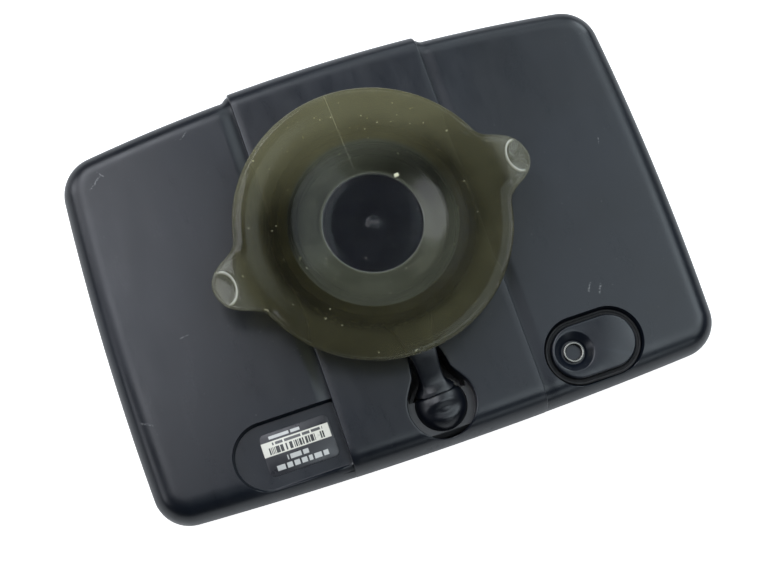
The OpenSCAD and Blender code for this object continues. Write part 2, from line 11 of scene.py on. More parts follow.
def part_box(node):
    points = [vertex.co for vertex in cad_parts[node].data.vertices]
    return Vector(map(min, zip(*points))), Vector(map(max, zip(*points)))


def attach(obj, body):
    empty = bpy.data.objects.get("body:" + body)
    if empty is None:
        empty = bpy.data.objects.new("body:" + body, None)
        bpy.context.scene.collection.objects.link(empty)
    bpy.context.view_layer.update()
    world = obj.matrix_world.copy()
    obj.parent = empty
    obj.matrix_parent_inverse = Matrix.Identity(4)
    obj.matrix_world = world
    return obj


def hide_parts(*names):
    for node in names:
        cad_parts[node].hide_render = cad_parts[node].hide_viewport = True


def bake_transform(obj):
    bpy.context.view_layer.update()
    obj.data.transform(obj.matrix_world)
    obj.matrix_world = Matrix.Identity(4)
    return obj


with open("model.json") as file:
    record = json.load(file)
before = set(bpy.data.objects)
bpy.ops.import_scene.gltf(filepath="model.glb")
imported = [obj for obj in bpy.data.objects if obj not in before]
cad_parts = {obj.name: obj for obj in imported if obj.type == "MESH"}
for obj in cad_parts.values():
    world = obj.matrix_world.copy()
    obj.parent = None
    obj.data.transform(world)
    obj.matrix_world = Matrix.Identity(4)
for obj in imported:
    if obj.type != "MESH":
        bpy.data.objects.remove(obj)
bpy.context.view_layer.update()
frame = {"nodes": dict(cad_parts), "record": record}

# Lengths below are in millimetres in the CAD's frame; they become metres when a mesh is made.
MM = 0.001
TAU = 2 * math.pi


def node_box(node):
    low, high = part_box(node)
    return Vector(low) / MM, Vector(high) / MM


JOINTS = {j["name"]: j for j in frame["record"]["behaviour"]["joints"]}
BALL = Vector(JOINTS["mount_fold"]["pos_m"]) / MM
HEAD = Vector(JOINTS["lock_turn"]["pos_m"]) / MM
YAW = math.atan2(JOINTS["mount_fold"]["axis"][1], JOINTS["mount_fold"]["axis"][0])
_, WING_HIGH = node_box("back_cover")
SPINE_LOW, SPINE_HIGH = node_box("spine_cover")
_, BEZEL_HIGH = node_box("front_bezel")
_, CUP_HIGH = node_box("suction_cup")
PLATE_LOW, PLATE_HIGH = node_box("pressure_plate")
LOCK_LOW, LOCK_HIGH = node_box("lock_ring")
GRIP_LOW, GRIP_HIGH = node_box("grip_band")
PLUNGER_LOW, PLUNGER_HIGH = node_box("plunger")
INSERT_LOW, INSERT_HIGH = node_box("jack_insert")
SEAL_LOW, SEAL_HIGH = node_box("jack_seal")
JACK_LOW, JACK_HIGH = node_box("aerial_jack")
LABEL_LOW, LABEL_HIGH = node_box("rating_label")
BUTTON_LOW, BUTTON_HIGH = node_box("power_button")
PORT_LOW, PORT_HIGH = node_box("usb_socket")
_, ARM_HIGH = node_box("mount_arm")

# Outline of the housing, and how deep the surface sinks beside the spine
ARCH_R = 430
FOOT_R = 1060
SIDE_R = 665
SIDE_Y = -11
TOP_CORNER = 9.3
FOOT_CORNER = 8.3
WING_DROP = 1.35   # how far the wings end below the spine's crown
WING_LIFT = 0.05   # and above its foot
EDGE = 6
SQUARENESS = 0.8
WIDE_Z = 7.5
PARTING_Z = 5.5
SPINE_HALF = SPINE_HIGH.x
VALLEY = 0.6
FAR_VALLEY = 0.22
VALLEY_END = SPINE_HALF + 3.6
LABEL_FLOOR = LABEL_LOW.z


# ---- small helpers ----

def smooth(t):
    t = min(1.0, max(0.0, t))
    return t * t * (3 - 2 * t)


def steps(a, b, step):
    n = max(1, round(abs(b - a) / step))
    return [a + (b - a) * i / n for i in range(n)]


def ramp(a, b, n):
    return [a + (b - a) * i / n for i in range(n + 1)]


def circle(r, z, n, x=0.0, y=0.0):
    return [Vector((x + r * math.cos(TAU * i / n), y + r * math.sin(TAU * i / n), z)) for i in range(n)]


def flat(points, z):
    """The points, all at one height."""
    return [Vector((p.x, p.y, z)) for p in points]


def rounded_box(w, h, r, grow=0.0, n=8):
    """A rectangle with round corners about the origin, grown outwards."""
    ring = []
    for q, (sx, sy) in enumerate(((1, 1), (-1, 1), (-1, -1), (1, -1))):
        for a in ramp(q * math.pi / 2, (q + 1) * math.pi / 2, n):
            ring.append(Vector((sx * (w / 2 - r) + (r + grow) * math.cos(a),
                                sy * (h / 2 - r) + (r + grow) * math.sin(a))))
    return ring


class Solid:
    """Collects faces in millimetres and makes one welded object from them."""

    def __init__(self):
        self.points, self.faces = [], []

    def add(self, points, faces):
        base = len(self.points)
        self.points += [Vector(p) for p in points]
        self.faces += [[base + i for i in f] for f in faces]

    def rows(self, rows, closed=True):
        n = len(rows[0])
        last = n if closed else n - 1
        points = [p for row in rows for p in row]
        faces = [(k * n + i, k * n + (i + 1) % n, (k + 1) * n + (i + 1) % n, (k + 1) * n + i)
                 for k in range(len(rows) - 1) for i in range(last)]
        self.add(points, faces)

    def cap(self, ring):
        self.add(ring, [range(len(ring))])

    def make(self, name, body, sharp=32, move=None, weld=0.002):
        mesh = bpy.data.meshes.new(name)
        b = bmesh.new()
        for p in self.points:
            b.verts.new((move @ p if move else p) * MM)
        b.verts.ensure_lookup_table()
        for f in self.faces:
            try:
                b.faces.new([b.verts[i] for i in f])
            except ValueError:
                continue
        bmesh.ops.remove_doubles(b, verts=b.verts, dist=weld * MM)
        bmesh.ops.dissolve_degenerate(b, edges=b.edges, dist=1e-7)
        bmesh.ops.recalc_face_normals(b, faces=b.faces)
        b.to_mesh(mesh)
        b.free()
        for p in mesh.polygons:
            p.use_smooth = True
        mesh.set_sharp_from_angle(angle=math.radians(sharp))
        piece = bpy.data.objects.new(name, mesh)
        bpy.context.scene.collection.objects.link(piece)
        if body:
            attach(piece, body)
        return piece


def lathe(solid, profile, n=96, move=Matrix()):
    """Turn (radius, height) points about Z; a radius of 0 closes the end."""
    solid.rows([[move @ p for p in circle(r, z, n)] for r, z in profile])


def rounded(corners, r=0.25, n=4, closed=False):
    """Round the corners of a profile."""
    out = []
    count = len(corners)
    for i, c in enumerate(corners):
        c = Vector(c)
        if not closed and i in (0, count - 1):
            out.append(tuple(c))
            continue
        a = Vector(corners[i - 1]) - c
        b = Vector(corners[(i + 1) % count]) - c
        reach = min(r, a.length * 0.45, b.length * 0.45)
        p, q = c + a.normalized() * reach, c + b.normalized() * reach
        for k in range(n + 1):
            t = k / n
            out.append(tuple(p * (1 - t) ** 2 + c * 2 * t * (1 - t) + q * t * t))
    return out


# ---- outline of the housing ----

def meeting(a, p, b, q, side):
    """The point at distance p from a and q from b, on one side of the line between them."""
    m = (b - a).length
    u = (b - a) / m
    t = (p * p - q * q + m * m) / (2 * m)
    return a + t * u + side * math.sqrt(p * p - t * t) * Vector((-u.y, u.x))


def angle_of(v):
    return math.atan2(v.y, v.x)


class Outline:
    """The rounded outline with its crown at one y and its foot at another, and what lies inside it."""

    def __init__(self, crown, foot):
        self.arch = Vector((0, crown - ARCH_R))
        self.foot = Vector((0, foot + FOOT_R))
        self.side = Vector((WING_HIGH.x - SIDE_R, SIDE_Y))
        self.top_corner = meeting(self.arch, ARCH_R - TOP_CORNER, self.side, SIDE_R - TOP_CORNER, -1)
        self.foot_corner = meeting(self.foot, FOOT_R - FOOT_CORNER, self.side, SIDE_R - FOOT_CORNER, 1)
        self.arch_end = angle_of(self.top_corner - self.arch)
        self.foot_end = angle_of(self.foot_corner - self.foot)
        self.side_top = angle_of(self.top_corner - self.side)
        self.side_foot = angle_of(self.foot_corner - self.side)

    def half(self, inset):
        """From the crown's middle down the +X side to the foot's middle."""
        def turn(centre, r, angles):
            return [centre + (r - inset) * Vector((math.cos(a), math.sin(a))) for a in angles]

        limit = ARCH_R * math.cos(self.arch_end)
        xs = steps(0, SPINE_HALF - 0.6, 1.6) + steps(SPINE_HALF - 0.6, VALLEY_END + 0.3, 0.3) \
            + steps(VALLEY_END + 0.3, limit, 1.6)
        crown = turn(self.arch, ARCH_R, [math.acos(x / ARCH_R) for x in xs])
        top = turn(self.top_corner, TOP_CORNER, ramp(self.arch_end, self.side_top, 18))
        side = turn(self.side, SIDE_R, ramp(self.side_top, self.side_foot, 40)[1:-1])
        foot = turn(self.foot_corner, FOOT_CORNER, ramp(self.side_foot, self.foot_end, 18))
        limit = FOOT_R * math.cos(self.foot_end)
        xs = steps(limit, VALLEY_END + 0.3, 1.6)[1:] + steps(VALLEY_END + 0.3, SPINE_HALF - 0.6, 0.3) \
            + steps(SPINE_HALF - 0.6, 0, 1.6) + [0]
        base = turn(self.foot, FOOT_R, [-math.acos(x / FOOT_R) for x in xs])
        return crown + top + side + foot + base

    def ring(self, inset):
        right = self.half(inset)
        return right + [Vector((-p.x, p.y)) for p in reversed(right[1:-1])]

    def inside(self, p):
        """How far p is inside the outline, and the outward direction there."""
        flip = -1 if p.x < 0 else 1
        q = Vector((abs(p.x), p.y))
        best = (1e9, None)
        for centre, r in ((self.side, SIDE_R), (self.arch, ARCH_R), (self.foot, FOOT_R)):
            d = q - centre
            best = min(best, (r - d.length, d.normalized()), key=lambda b: b[0])
        for c, r, low, high in ((self.top_corner, TOP_CORNER, self.side_top, self.arch_end),
                                (self.foot_corner, FOOT_CORNER, self.foot_end, self.side_foot)):
            d = q - c
            if d.length > 1e-6 and low <= angle_of(d) <= high:
                best = (r - d.length, d.normalized())
        return best[0], Vector((best[1].x * flip, best[1].y))


WING = Outline(SPINE_HIGH.y - WING_DROP, SPINE_LOW.y + WING_LIFT)
SPINE = Outline(SPINE_HIGH.y, SPINE_LOW.y)


def shoulder(inset, top, edge=EDGE, low=WIDE_Z):
    """Height of a rounded edge at an inset, with its slope's cosine and sine."""
    c = max(0.0, 1 - max(0.0, inset) / edge) ** (1 / SQUARENESS)
    s = math.sqrt(max(0.0, 1 - c * c))
    return low + (top - low) * s ** SQUARENESS, c, s


def shoulder_inset(angle, edge=EDGE):
    return edge * (1 - max(0.0, math.cos(angle)) ** SQUARENESS)


RIM_ANGLE = math.radians(37.5)
RIM_INSET = shoulder_inset(RIM_ANGLE)
ROW_ANGLES = [RIM_ANGLE + (math.pi / 2 - RIM_ANGLE) * k / 11 for k in range(12)]


# ---- shapes cut in the housing, as distances that are negative inside ----

def stadium(cx, cy, w, h):
    return lambda p: math.hypot(max(abs(p.x - cx) - (w - h) / 2, 0), p.y - cy) - h / 2


def round_cone(p, y, r1, r2, h):
    x, y = abs(p.x - BALL.x), p.y - y
    b = (r1 - r2) / h
    a = math.sqrt(1 - b * b)
    k = -b * x + a * y
    if k < 0:
        return math.hypot(x, y) - r1
    if k > a * h:
        return math.hypot(x, y - h) - r2
    return a * x + b * y - r1


def egg(p):
    return min(round_cone(p, BALL.y, 7.8, 4.9, 5.4), round_cone(p, BALL.y + 5.4, 4.9, 3.9, 5))


LABEL_CENTRE = Vector((-40.7, -37.6))
LABEL_HALF = 7.6
LABEL_END = -SPINE_HALF + 0.35


def label_recess(p):
    left = math.hypot(min(p.x - LABEL_CENTRE.x, 0), p.y - LABEL_CENTRE.y) - LABEL_HALF
    return max(left, p.x - LABEL_END)


PANEL = (INSERT_LOW + INSERT_HIGH) / 2
panel_recess = stadium(PANEL.x, PANEL.y, SEAL_HIGH.x - SEAL_LOW.x + 0.3, SEAL_HIGH.y - SEAL_LOW.y + 0.3)


def contour(distance, centre, level, n):
    """Points all round a centre at which the distance has this level."""
    out = []
    for i in range(n):
        d = Vector((math.cos(TAU * i / n), math.sin(TAU * i / n)))
        near, far = 0.0, 40.0
        for _ in range(30):
            mid = (near + far) / 2
            if distance(centre + mid * d) < level:
                near = mid
            else:
                far = mid
        out.append(centre + near * d)
    return out


WALL_LEVELS = (0.45, 0.3, 0.18, 0.08, 0, -0.08, -0.18, -0.3, -0.45)


def wall_share(d):
    """0 on a recess's floor, 1 on the surface round it."""
    return smooth((d + 0.3) / 0.6)


def triangulate(loops, loose, keep):
    """Triangles over closed loops and loose points, where keep(middle) holds."""
    coords, edges = [], []
    for loop in loops:
        base, n = len(coords), len(loop)
        coords += loop
        edges += [(base + i, base + (i + 1) % n) for i in range(n)]
    coords += loose
    points, _, faces, *_ = delaunay_2d_cdt(coords, edges, [], 0, 1e-5)
    kept = [f for f in faces if keep(sum((points[i] for i in f), Vector((0, 0))) / len(f))]
    return points, kept


# ---- back cover ----

def valley(x):
    """How far the surface sinks beside and under the spine, more on the -X side."""
    deep = VALLEY + (FAR_VALLEY - VALLEY) * smooth((x + 20) / 40)
    return deep * (1 - smooth((abs(x) - SPINE_HALF - 0.25) / (VALLEY_END - SPINE_HALF - 0.25)))


def flare(p):
    """How far the arched edge swells to meet the end of the spine."""
    return 1.1 * (1 - smooth((abs(p.x) - SPINE_HALF) / 2.0)) if p.y > 0 else 0.0


def wing_dome(p):
    side = max(0.0, abs(p.x) - SPINE_HALF) / (WING_HIGH.x - SPINE_HALF)
    return 0.55 * side ** 2 + 0.25 * (p.y / 48) ** 2


def wing_point(p):
    inset, out = WING.inside(p)
    z, c, s = shoulder(inset, WING_HIGH.z)
    z -= (valley(p.x) + wing_dome(p)) * s
    for distance, floor in ((label_recess, LABEL_FLOOR), (panel_recess, SEAL_LOW.z)):
        d = distance(p)
        if d < 0.3 and z > floor:
            z = floor + (z - floor) * wall_share(d)
    swell = flare(p) * c
    return Vector((p.x + out.x * swell, p.y + out.y * swell, z))


def wing_ring(angle):
    return [wing_point(p) for p in WING.ring(shoulder_inset(angle))]


def back_cover():
    solid = Solid()
    rim = WING.ring(RIM_INSET)
    loops = [rim]
    label_mid = Vector(((LABEL_CENTRE.x + LABEL_END) / 2, LABEL_CENTRE.y))
    for level in WALL_LEVELS:
        loops.append(contour(label_recess, label_mid, level, 200))
        loops.append(contour(panel_recess, PANEL.xy, level, 160))
    well = lambda p: egg(p) - 0.5
    mouth = contour(well, BALL.xy, 0, 120)
    loops.append(mouth)

    def free(p, room=0.7):
        return (abs(label_recess(p)) > room and abs(panel_recess(p)) > room and well(p) > 0.5
                and WING.inside(p)[0] > RIM_INSET + 0.25)

    loose = []
    for angle in ROW_ANGLES[1:]:
        loose += [p for p in WING.ring(shoulder_inset(angle)) if free(p)]
    xs = steps(-SPINE_HALF - 0.6, -VALLEY_END - 0.4, 0.35) + steps(-VALLEY_END - 0.4, -64, 1.8)
    for x in xs + [-x for x in xs] + steps(-SPINE_HALF + 0.8, SPINE_HALF, 3):
        loose += [p for p in (Vector((x, y)) for y in steps(-45, 45, 1.8))
                  if free(p) and WING.inside(p)[0] > EDGE + 0.5]
    points, faces = triangulate(loops, loose, lambda m: WING.inside(m)[0] > RIM_INSET - 0.05 and well(m) > 0)
    solid.add([wing_point(p) for p in points], faces)

    side = [wing_ring(a) for a in ramp(RIM_ANGLE, 0, 7)]
    base = flat(WING.ring(0.4), PARTING_Z)
    solid.rows(side + [flat(WING.ring(0.25), PARTING_Z + 0.15), base])
    # the well that the ball sits in, and the flat underside round it
    lip = [wing_point(p) for p in mouth]
    bottom = flat(mouth, PARTING_Z)
    solid.rows([lip, [p.lerp(q, 0.5) for p, q in zip(lip, bottom)], bottom])
    points, faces = triangulate([[p.xy for p in base], mouth], [],
                                lambda m: WING.inside(m)[0] > 0.4 and well(m) > 0)
    solid.add(flat(points, PARTING_Z), faces)
    piece = solid.make("back_shell", "root", sharp=40)
    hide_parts("back_cover")
    return piece


# ---- spine cover ----

BEVEL = 0.3
SPINE_DEPTH = 2.9


def spine_profile():
    """Foot to crown rows as (edge, angle or share): the heights at which the spine is drawn."""
    foot = [("foot", a) for a in [0.0] + ramp(0.08, math.pi / 2, 16)]
    crown = [("crown", a) for a in reversed([0.0] + ramp(0.08, math.pi / 2, 16))]
    middle = [("middle", t) for t in ramp(0, 1, 52)[1:-1]]
    return foot + middle + crown


def spine_ends(x):
    """Where the spine's foot and crown lie at x."""
    return SPINE.foot.y - math.sqrt(FOOT_R ** 2 - x * x), SPINE.arch.y + math.sqrt(ARCH_R ** 2 - x * x)


def spine_row(kind, value, x, sink):
    """A point of the spine's skin, sunk along its normal."""
    foot, crown = spine_ends(x)
    if kind == "middle":
        y, c, s, z = foot + EDGE + (crown - foot - 2 * EDGE) * value, 0.0, 1.0, SPINE_HIGH.z
        out = 0
    else:
        z, c, s = shoulder(shoulder_inset(value), SPINE_HIGH.z)
        out = 1 if kind == "crown" else -1
        y = crown - shoulder_inset(value) if kind == "crown" else foot + shoulder_inset(value)
    z -= spine_dome(y) * s
    return Vector((x, y - out * sink * c, z - sink * s))


def spine_dome(y):
    return 0.3 * (y / 48) ** 2


def spine_height(p):
    foot, crown = spine_ends(p.x)
    z, _, s = shoulder(min(crown - p.y, p.y - foot), SPINE_HIGH.z)
    return z - spine_dome(p.y) * s


def spine_cover():
    solid = Solid()
    rows = spine_profile()
    patch_low, patch_high, patch_x = BALL.y - 8.8, BALL.y + 17.0, 10.5
    xs = ramp(-SPINE_HALF + BEVEL, -patch_x, 8) + ramp(-patch_x, patch_x, 14)[1:-1] \
        + ramp(patch_x, SPINE_HALF - BEVEL, 8)
    # the skin, apart from the patch round the ball
    grid = [[spine_row(kind, value, x, 0) for x in xs] for kind, value in rows]
    in_patch = [patch_low < row[len(xs) // 2].y < patch_high for row in grid]
    first, last = in_patch.index(True) - 1, len(rows) - 1 - in_patch[::-1].index(True) + 1
    left, right = 8, len(xs) - 9
    faces, n = [], len(xs)
    for j in range(len(rows) - 1):
        for i in range(n - 1):
            if first <= j < last and left <= i < right:
                continue
            faces.append((j * n + i, j * n + i + 1, (j + 1) * n + i + 1, (j + 1) * n + i))
    solid.add([p for row in grid for p in row], faces)
    # the patch, with the egg-shaped opening
    border = [grid[first][i] for i in range(left, right)] + [grid[j][right] for j in range(first, last)] \
        + [grid[last][i] for i in range(right, left, -1)] + [grid[j][left] for j in range(last, first, -1)]
    levels = (0.7, 0.35, 0.2, 0.1, 0.0)
    loops = [[p.xy for p in border]] + [contour(egg, BALL.xy, level, 140) for level in levels]
    known = {(round(p.x, 3), round(p.y, 3)): p.z for p in border}

    def skin(p):
        z = known.get((round(p.x, 3), round(p.y, 3)))
        if z is not None:
            return Vector((p.x, p.y, z))
        d = max(0.0, egg(p))
        drop = 0.3 * (1 - math.sqrt(max(0.0, 1 - (1 - min(1.0, d / 0.35)) ** 2)))
        return Vector((p.x, p.y, spine_height(p) - drop))

    loose = []
    for j in range(first + 1, last):
        y = grid[j][len(xs) // 2].y
        loose += [q for q in (Vector((x, y)) for x in ramp(-patch_x, patch_x, 16)[1:-1]) if egg(q) > 0.9]
    low_y, high_y = grid[first][left].y, grid[last][left].y
    points, faces = triangulate(
        loops, loose, lambda m: egg(m) > 0 and abs(m.x) < patch_x and low_y - 0.4 < m.y < high_y + 0.4)
    solid.add([skin(p) for p in points], faces)
    mouth = loops[-1]
    top = [skin(p) for p in mouth]
    solid.rows([top, [Vector((p.x, p.y, p.z - 0.7)) for p in top],
                flat(top, SPINE_HIGH.z - SPINE_DEPTH - 0.6)])
    # rounded long edges and the walls below them
    for s in (-1, 1):
        edge = [(SPINE_HALF - BEVEL + BEVEL * math.sin(a), BEVEL * (1 - math.cos(a)))
                for a in ramp(0, math.pi / 2, 4)]
        edge += [(SPINE_HALF, 1.4), (SPINE_HALF, SPINE_DEPTH)]
        solid.rows([[spine_row(kind, value, s * x, sink) for kind, value in rows] for x, sink in edge],
                   closed=False)
    # the two ends, turned in at the parting line
    for j in (0, len(rows) - 1):
        ring = grid[j]
        sign = 1 if j else -1
        lower = [Vector((p.x, p.y - sign * 0.25, PARTING_Z + 0.35)) for p in ring]
        inner = [Vector((p.x, p.y - sign * 1.5, PARTING_Z + 0.35)) for p in ring]
        solid.rows([ring, lower, inner], closed=False)
    piece = solid.make("spine_band", "root", sharp=42)
    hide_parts("spine_cover")
    return piece


# ---- front bezel ----

WINDOW = (111, 66, -1.5, 1.5)


def window_distance(p):
    w, h, y, r = WINDOW
    dx, dy = abs(p.x) - w / 2 + r, abs(p.y - y) - h / 2 + r
    return math.hypot(max(dx, 0), max(dy, 0)) + min(max(dx, dy), 0) - r


def window_ring(grow):
    w, h, y, r = WINDOW
    return [p + Vector((0, y)) for p in rounded_box(w, h, r, grow, 6)]


def front_bezel():
    solid = Solid()
    outer = []
    top = BEZEL_HIGH.z
    for a in ramp(0, math.pi / 2, 10):
        inset = 0.25 + 2.75 * (1 - math.cos(a)) ** 1.3
        outer.append(flat(WING.ring(inset), top - 0.15 - (top - 0.15) * math.sin(a)))
    floor = flat(WING.ring(2.4), 1.6)
    solid.rows([floor, flat(WING.ring(2.0), top), flat(WING.ring(0.4), top)] + outer)
    points, faces = triangulate([[p.xy for p in outer[-1]], window_ring(0.3)], [],
                                lambda m: WING.inside(m)[0] > 2.9 and window_distance(m) > 0.3)
    solid.add(flat(points, 0), faces)
    solid.rows([flat(window_ring(grow), z) for grow, z in ((0.3, 0), (0.09, 0.09), (0, 0.3), (0, 0.8))])
    points, faces = triangulate([[p.xy for p in floor], window_ring(0)], [],
                                lambda m: WING.inside(m)[0] > 2.4 and window_distance(m) > 0)
    solid.add([Vector((p.x, p.y, 1.6 if WING.inside(p)[0] < 2.6 else 0.8)) for p in points], faces)
    piece = solid.make("bezel_shell", "root", sharp=40)
    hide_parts("front_bezel")
    return piece


def cut(piece, cutters):
    """Take the cutters' shapes out of a piece."""
    for cutter in cutters:
        modifier = piece.modifiers.new("cut", "BOOLEAN")
        modifier.operation = "DIFFERENCE"
        modifier.solver = "EXACT"
        modifier.object = cutter
        graph = bpy.context.evaluated_depsgraph_get()
        mesh = bpy.data.meshes.new_from_object(piece.evaluated_get(graph))
        piece.modifiers.clear()
        old, piece.data = piece.data, mesh
        bpy.data.meshes.remove(old)
    for cutter in cutters:
        bpy.data.objects.remove(cutter)
    piece.data.set_sharp_from_angle(angle=math.radians(40))


def pill_cutter(centre, axis, w, h, depth, corner=None):
    """A pill-shaped prism; axis is 'y' or 'z'."""
    ring = rounded_box(w, h, h / 2 if corner is None else corner)
    b = bmesh.new()
    rows = []
    for d in (-depth / 2, depth / 2):
        places = [Vector((p.x, d, p.y)) if axis == "y" else Vector((p.x, p.y, d)) for p in ring]
        rows.append([b.verts.new((Vector(centre) + q) * MM) for q in places])
    n = len(ring)
    for i in range(n):
        b.faces.new((rows[0][i], rows[0][(i + 1) % n], rows[1][(i + 1) % n], rows[1][i]))
    b.faces.new(rows[0])
    b.faces.new(rows[1])
    bmesh.ops.remove_doubles(b, verts=b.verts, dist=1e-7)
    bmesh.ops.recalc_face_normals(b, faces=b.faces)
    mesh = bpy.data.meshes.new("cutter")
    b.to_mesh(mesh)
    b.free()
    cutter = bpy.data.objects.new("cutter", mesh)
    bpy.context.scene.collection.objects.link(cutter)
    return cutter


# ---- aerial panel and label ----

def jack_insert():
    solid = Solid()
    top, low = INSERT_HIGH.z, INSERT_LOW.z
    w, h = INSERT_HIGH.x - INSERT_LOW.x, INSERT_HIGH.y - INSERT_LOW.y
    shape = stadium(PANEL.x, PANEL.y, w, h)
    jack = ((JACK_LOW + JACK_HIGH) / 2).xy
    outer = [(0, low), (0, top - 0.5), (-0.06, top - 0.26), (-0.2, top - 0.08), (-0.42, top)]
    rings = [flat(contour(shape, PANEL.xy, d, 140), z) for d, z in outer]
    solid.rows(rings)
    # the round mouth narrows to the bore that the metal socket stands in
    cone = [circle(r, z, 64, jack.x, jack.y) for r, z in (
        (4.75, top), (4.55, top - 0.06), (4.4, top - 0.2), (3.0, top - 1.45), (2.8, top - 1.75), (2.75, low))]
    solid.rows(cone)
    for outside, hole, inset, r, z in (
            (rings[-1], cone[0], -0.42, 4.75, top), (rings[0], cone[-1], 0, 2.75, low)):
        points, faces = triangulate([[p.xy for p in outside], [p.xy for p in hole]], [],
                                    lambda m: shape(m) < inset and (m - jack).length > r)
        solid.add(flat(points, z), faces)
    piece = solid.make("aerial_panel", "root", sharp=50)
    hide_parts("jack_insert")
    return piece


def jack_seal():
    """A gasket with a raised outer lip and a lower inner step."""
    solid = Solid()
    w, h = SEAL_HIGH.x - SEAL_LOW.x, SEAL_HIGH.y - SEAL_LOW.y
    shape = stadium(PANEL.x, PANEL.y, w, h)
    low, high = SEAL_LOW.z, SEAL_HIGH.z
    section = [
        (-1.33, low), (-1.33, high - 0.42), (-1.2, high - 0.3), (-0.8, high - 0.3), (-0.66, high - 0.2),
        (-0.56, high - 0.05), (-0.4, high), (-0.2, high - 0.05), (-0.06, high - 0.2), (0, high - 0.4),
        (0, low)]
    solid.rows([flat(contour(shape, PANEL.xy, d, 140), z) for d, z in section + section[:1]])
    piece = solid.make("aerial_gasket", "root", sharp=60)
    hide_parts("jack_seal")
    return piece


def aerial_jack():
    solid = Solid()
    centre = (JACK_LOW + JACK_HIGH) / 2
    top = JACK_HIGH.z
    move = Matrix.Translation((centre.x, centre.y, 0))
    profile = [(0.6, top - 3.6), (1.75, top - 3.6)] + rounded(
        [(1.75, top - 3.6), (1.75, top - 0.5), (1.95, top), (2.35, top), (2.35, top - 1.2),
         (2.15, top - 1.45), (2.15, top - 1.8), (2.4, top - 2.0), (2.4, JACK_LOW.z)], 0.14)[1:]
    lathe(solid, profile, 72, move)
    lathe(solid, [(2.4, JACK_LOW.z + 2), (3.2, JACK_LOW.z + 2), (3.2, JACK_LOW.z), (0, JACK_LOW.z)], 72, move)
    lathe(solid, [(0, top - 5.2), (0.6, top - 5.2), (0.6, top - 3.6)], 72, move)
    piece = solid.make("aerial_barrel", "root", sharp=50)
    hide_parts("aerial_jack")
    return piece


def rating_label():
    solid = Solid()
    centre = (LABEL_LOW + LABEL_HIGH) / 2
    w, h = LABEL_HIGH.x - LABEL_LOW.x, LABEL_HIGH.y - LABEL_LOW.y
    low, high = LABEL_LOW.z, LABEL_HIGH.z - 0.04
    rows = []
    for inset, z in ((0, low), (0, high - 0.05), (0.02, high - 0.02), (0.06, high)):
        rows.append(flat([centre.xy + p for p in rounded_box(w, h, 1.4, -inset)], z))
    solid.rows(rows)
    solid.cap(rows[-1])
    solid.cap(rows[0])
    piece = solid.make("label_plate", "root")
    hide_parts("rating_label")
    return piece


def power_button():
    solid = Solid()
    centre = (BUTTON_LOW + BUTTON_HIGH) / 2
    face = BUTTON_HIGH.y

    rows = []
    for grow, sink in ((0.65, 3.8), (0.65, 3.05), (0, 3.05), (0, 0.35),
                       (-0.08, 0.15), (-0.25, 0.05), (-0.8, 0.12), (-1.3, 0.2)):
        rows.append([Vector((centre.x + p.x, face - sink - 0.085 * p.x, centre.z + p.y))
                     for p in rounded_box(9.1, 3.3, 1.65, grow)])
    solid.rows(rows)
    solid.cap(rows[-1])
    solid.cap(rows[0])
    piece = solid.make("button_cap", "button", sharp=50)
    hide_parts("power_button")
    return piece


# ---- ball and arm ----

LEAN = math.radians(8)
BALL_R = 6.2
SLIT = 3.2
SLIT_WIDTH = 0.9
AT_BALL = Matrix.Translation(BALL) @ Matrix.Rotation(YAW, 4, "Z")
BALL_AXIS = AT_BALL @ Matrix.Rotation(LEAN - math.pi / 2, 4, "X")
AT_HEAD = Matrix.Translation((HEAD.x, HEAD.y, 0)) @ Matrix.Rotation(YAW, 4, "Z")


def ball_cap():
    """The outer part of the ball, with a thumb-shaped hollow above and a screw well at its pole."""
    solid = Solid()
    n = 128
    rows = []
    hollow = Vector((0.05, -0.30, 0.95)).normalized()
    tilt = Matrix.Rotation(LEAN - math.pi / 2, 3, "X")
    angles = ramp(math.radians(2), math.radians(90) + math.asin((SLIT - 0.50) / BALL_R), 60)
    for a in angles:
        row = []
        for i in range(n):
            t = TAU * i / n
            d = Vector((math.sin(a) * math.cos(t), math.sin(a) * math.sin(t), -math.cos(a)))
            world = tilt @ d
            across = world - hollow * world.dot(hollow)
            off = math.hypot(across.x / 0.80, across.y / 0.36) if world.z > 0 else 9
            dent = 0.75 * smooth((1 - off) / 0.75)
            well = smooth((2.2 - BALL_R * math.sin(a)) / 0.5) * 1.4 if a < 0.6 else 0
            row.append(d * (BALL_R - 0.02 - dent - well))
        rows.append(row)
    edge = math.sqrt(BALL_R ** 2 - SLIT ** 2)
    rows += [circle(r, z, n) for r, z in ((edge - 0.16, SLIT - 0.26), (edge - 0.55, SLIT), (3.4, SLIT))]
    solid.rows(rows)
    solid.cap(rows[0])
    solid.cap(rows[-1])
    piece = solid.make("ball_cap", "arm", sharp=50, move=BALL_AXIS)
    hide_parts("swivel_ball")
    return piece


def ball_ring():
    solid = Solid()
    low, high = SLIT + 0.03, SLIT + SLIT_WIDTH - 0.03
    profile = rounded([(3.2, low), (4.5, low), (4.5, high), (3.2, high)], 0.25) + [(3.2, low)]
    lathe(solid, profile, 72)
    piece = solid.make("friction_ring", "arm", move=BALL_AXIS)
    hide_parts("ball_ring")
    return piece


def section(y, z, lean, w, t, corner, n=48):
    """A rounded box across the arm, drawn in the ball's frame and leaned back."""
    out = []
    hw, ht = w / 2 - corner, t / 2 - corner
    for i in range(n):
        a = TAU * i / n
        c, s = math.cos(a), math.sin(a)
        u = hw * max(-1, min(1, 1.6 * c)) + corner * c
        v = ht * max(-1, min(1, 1.6 * s)) + corner * s
        out.append(Vector((u, y - v * math.sin(lean), z + v * math.cos(lean))))
    return out


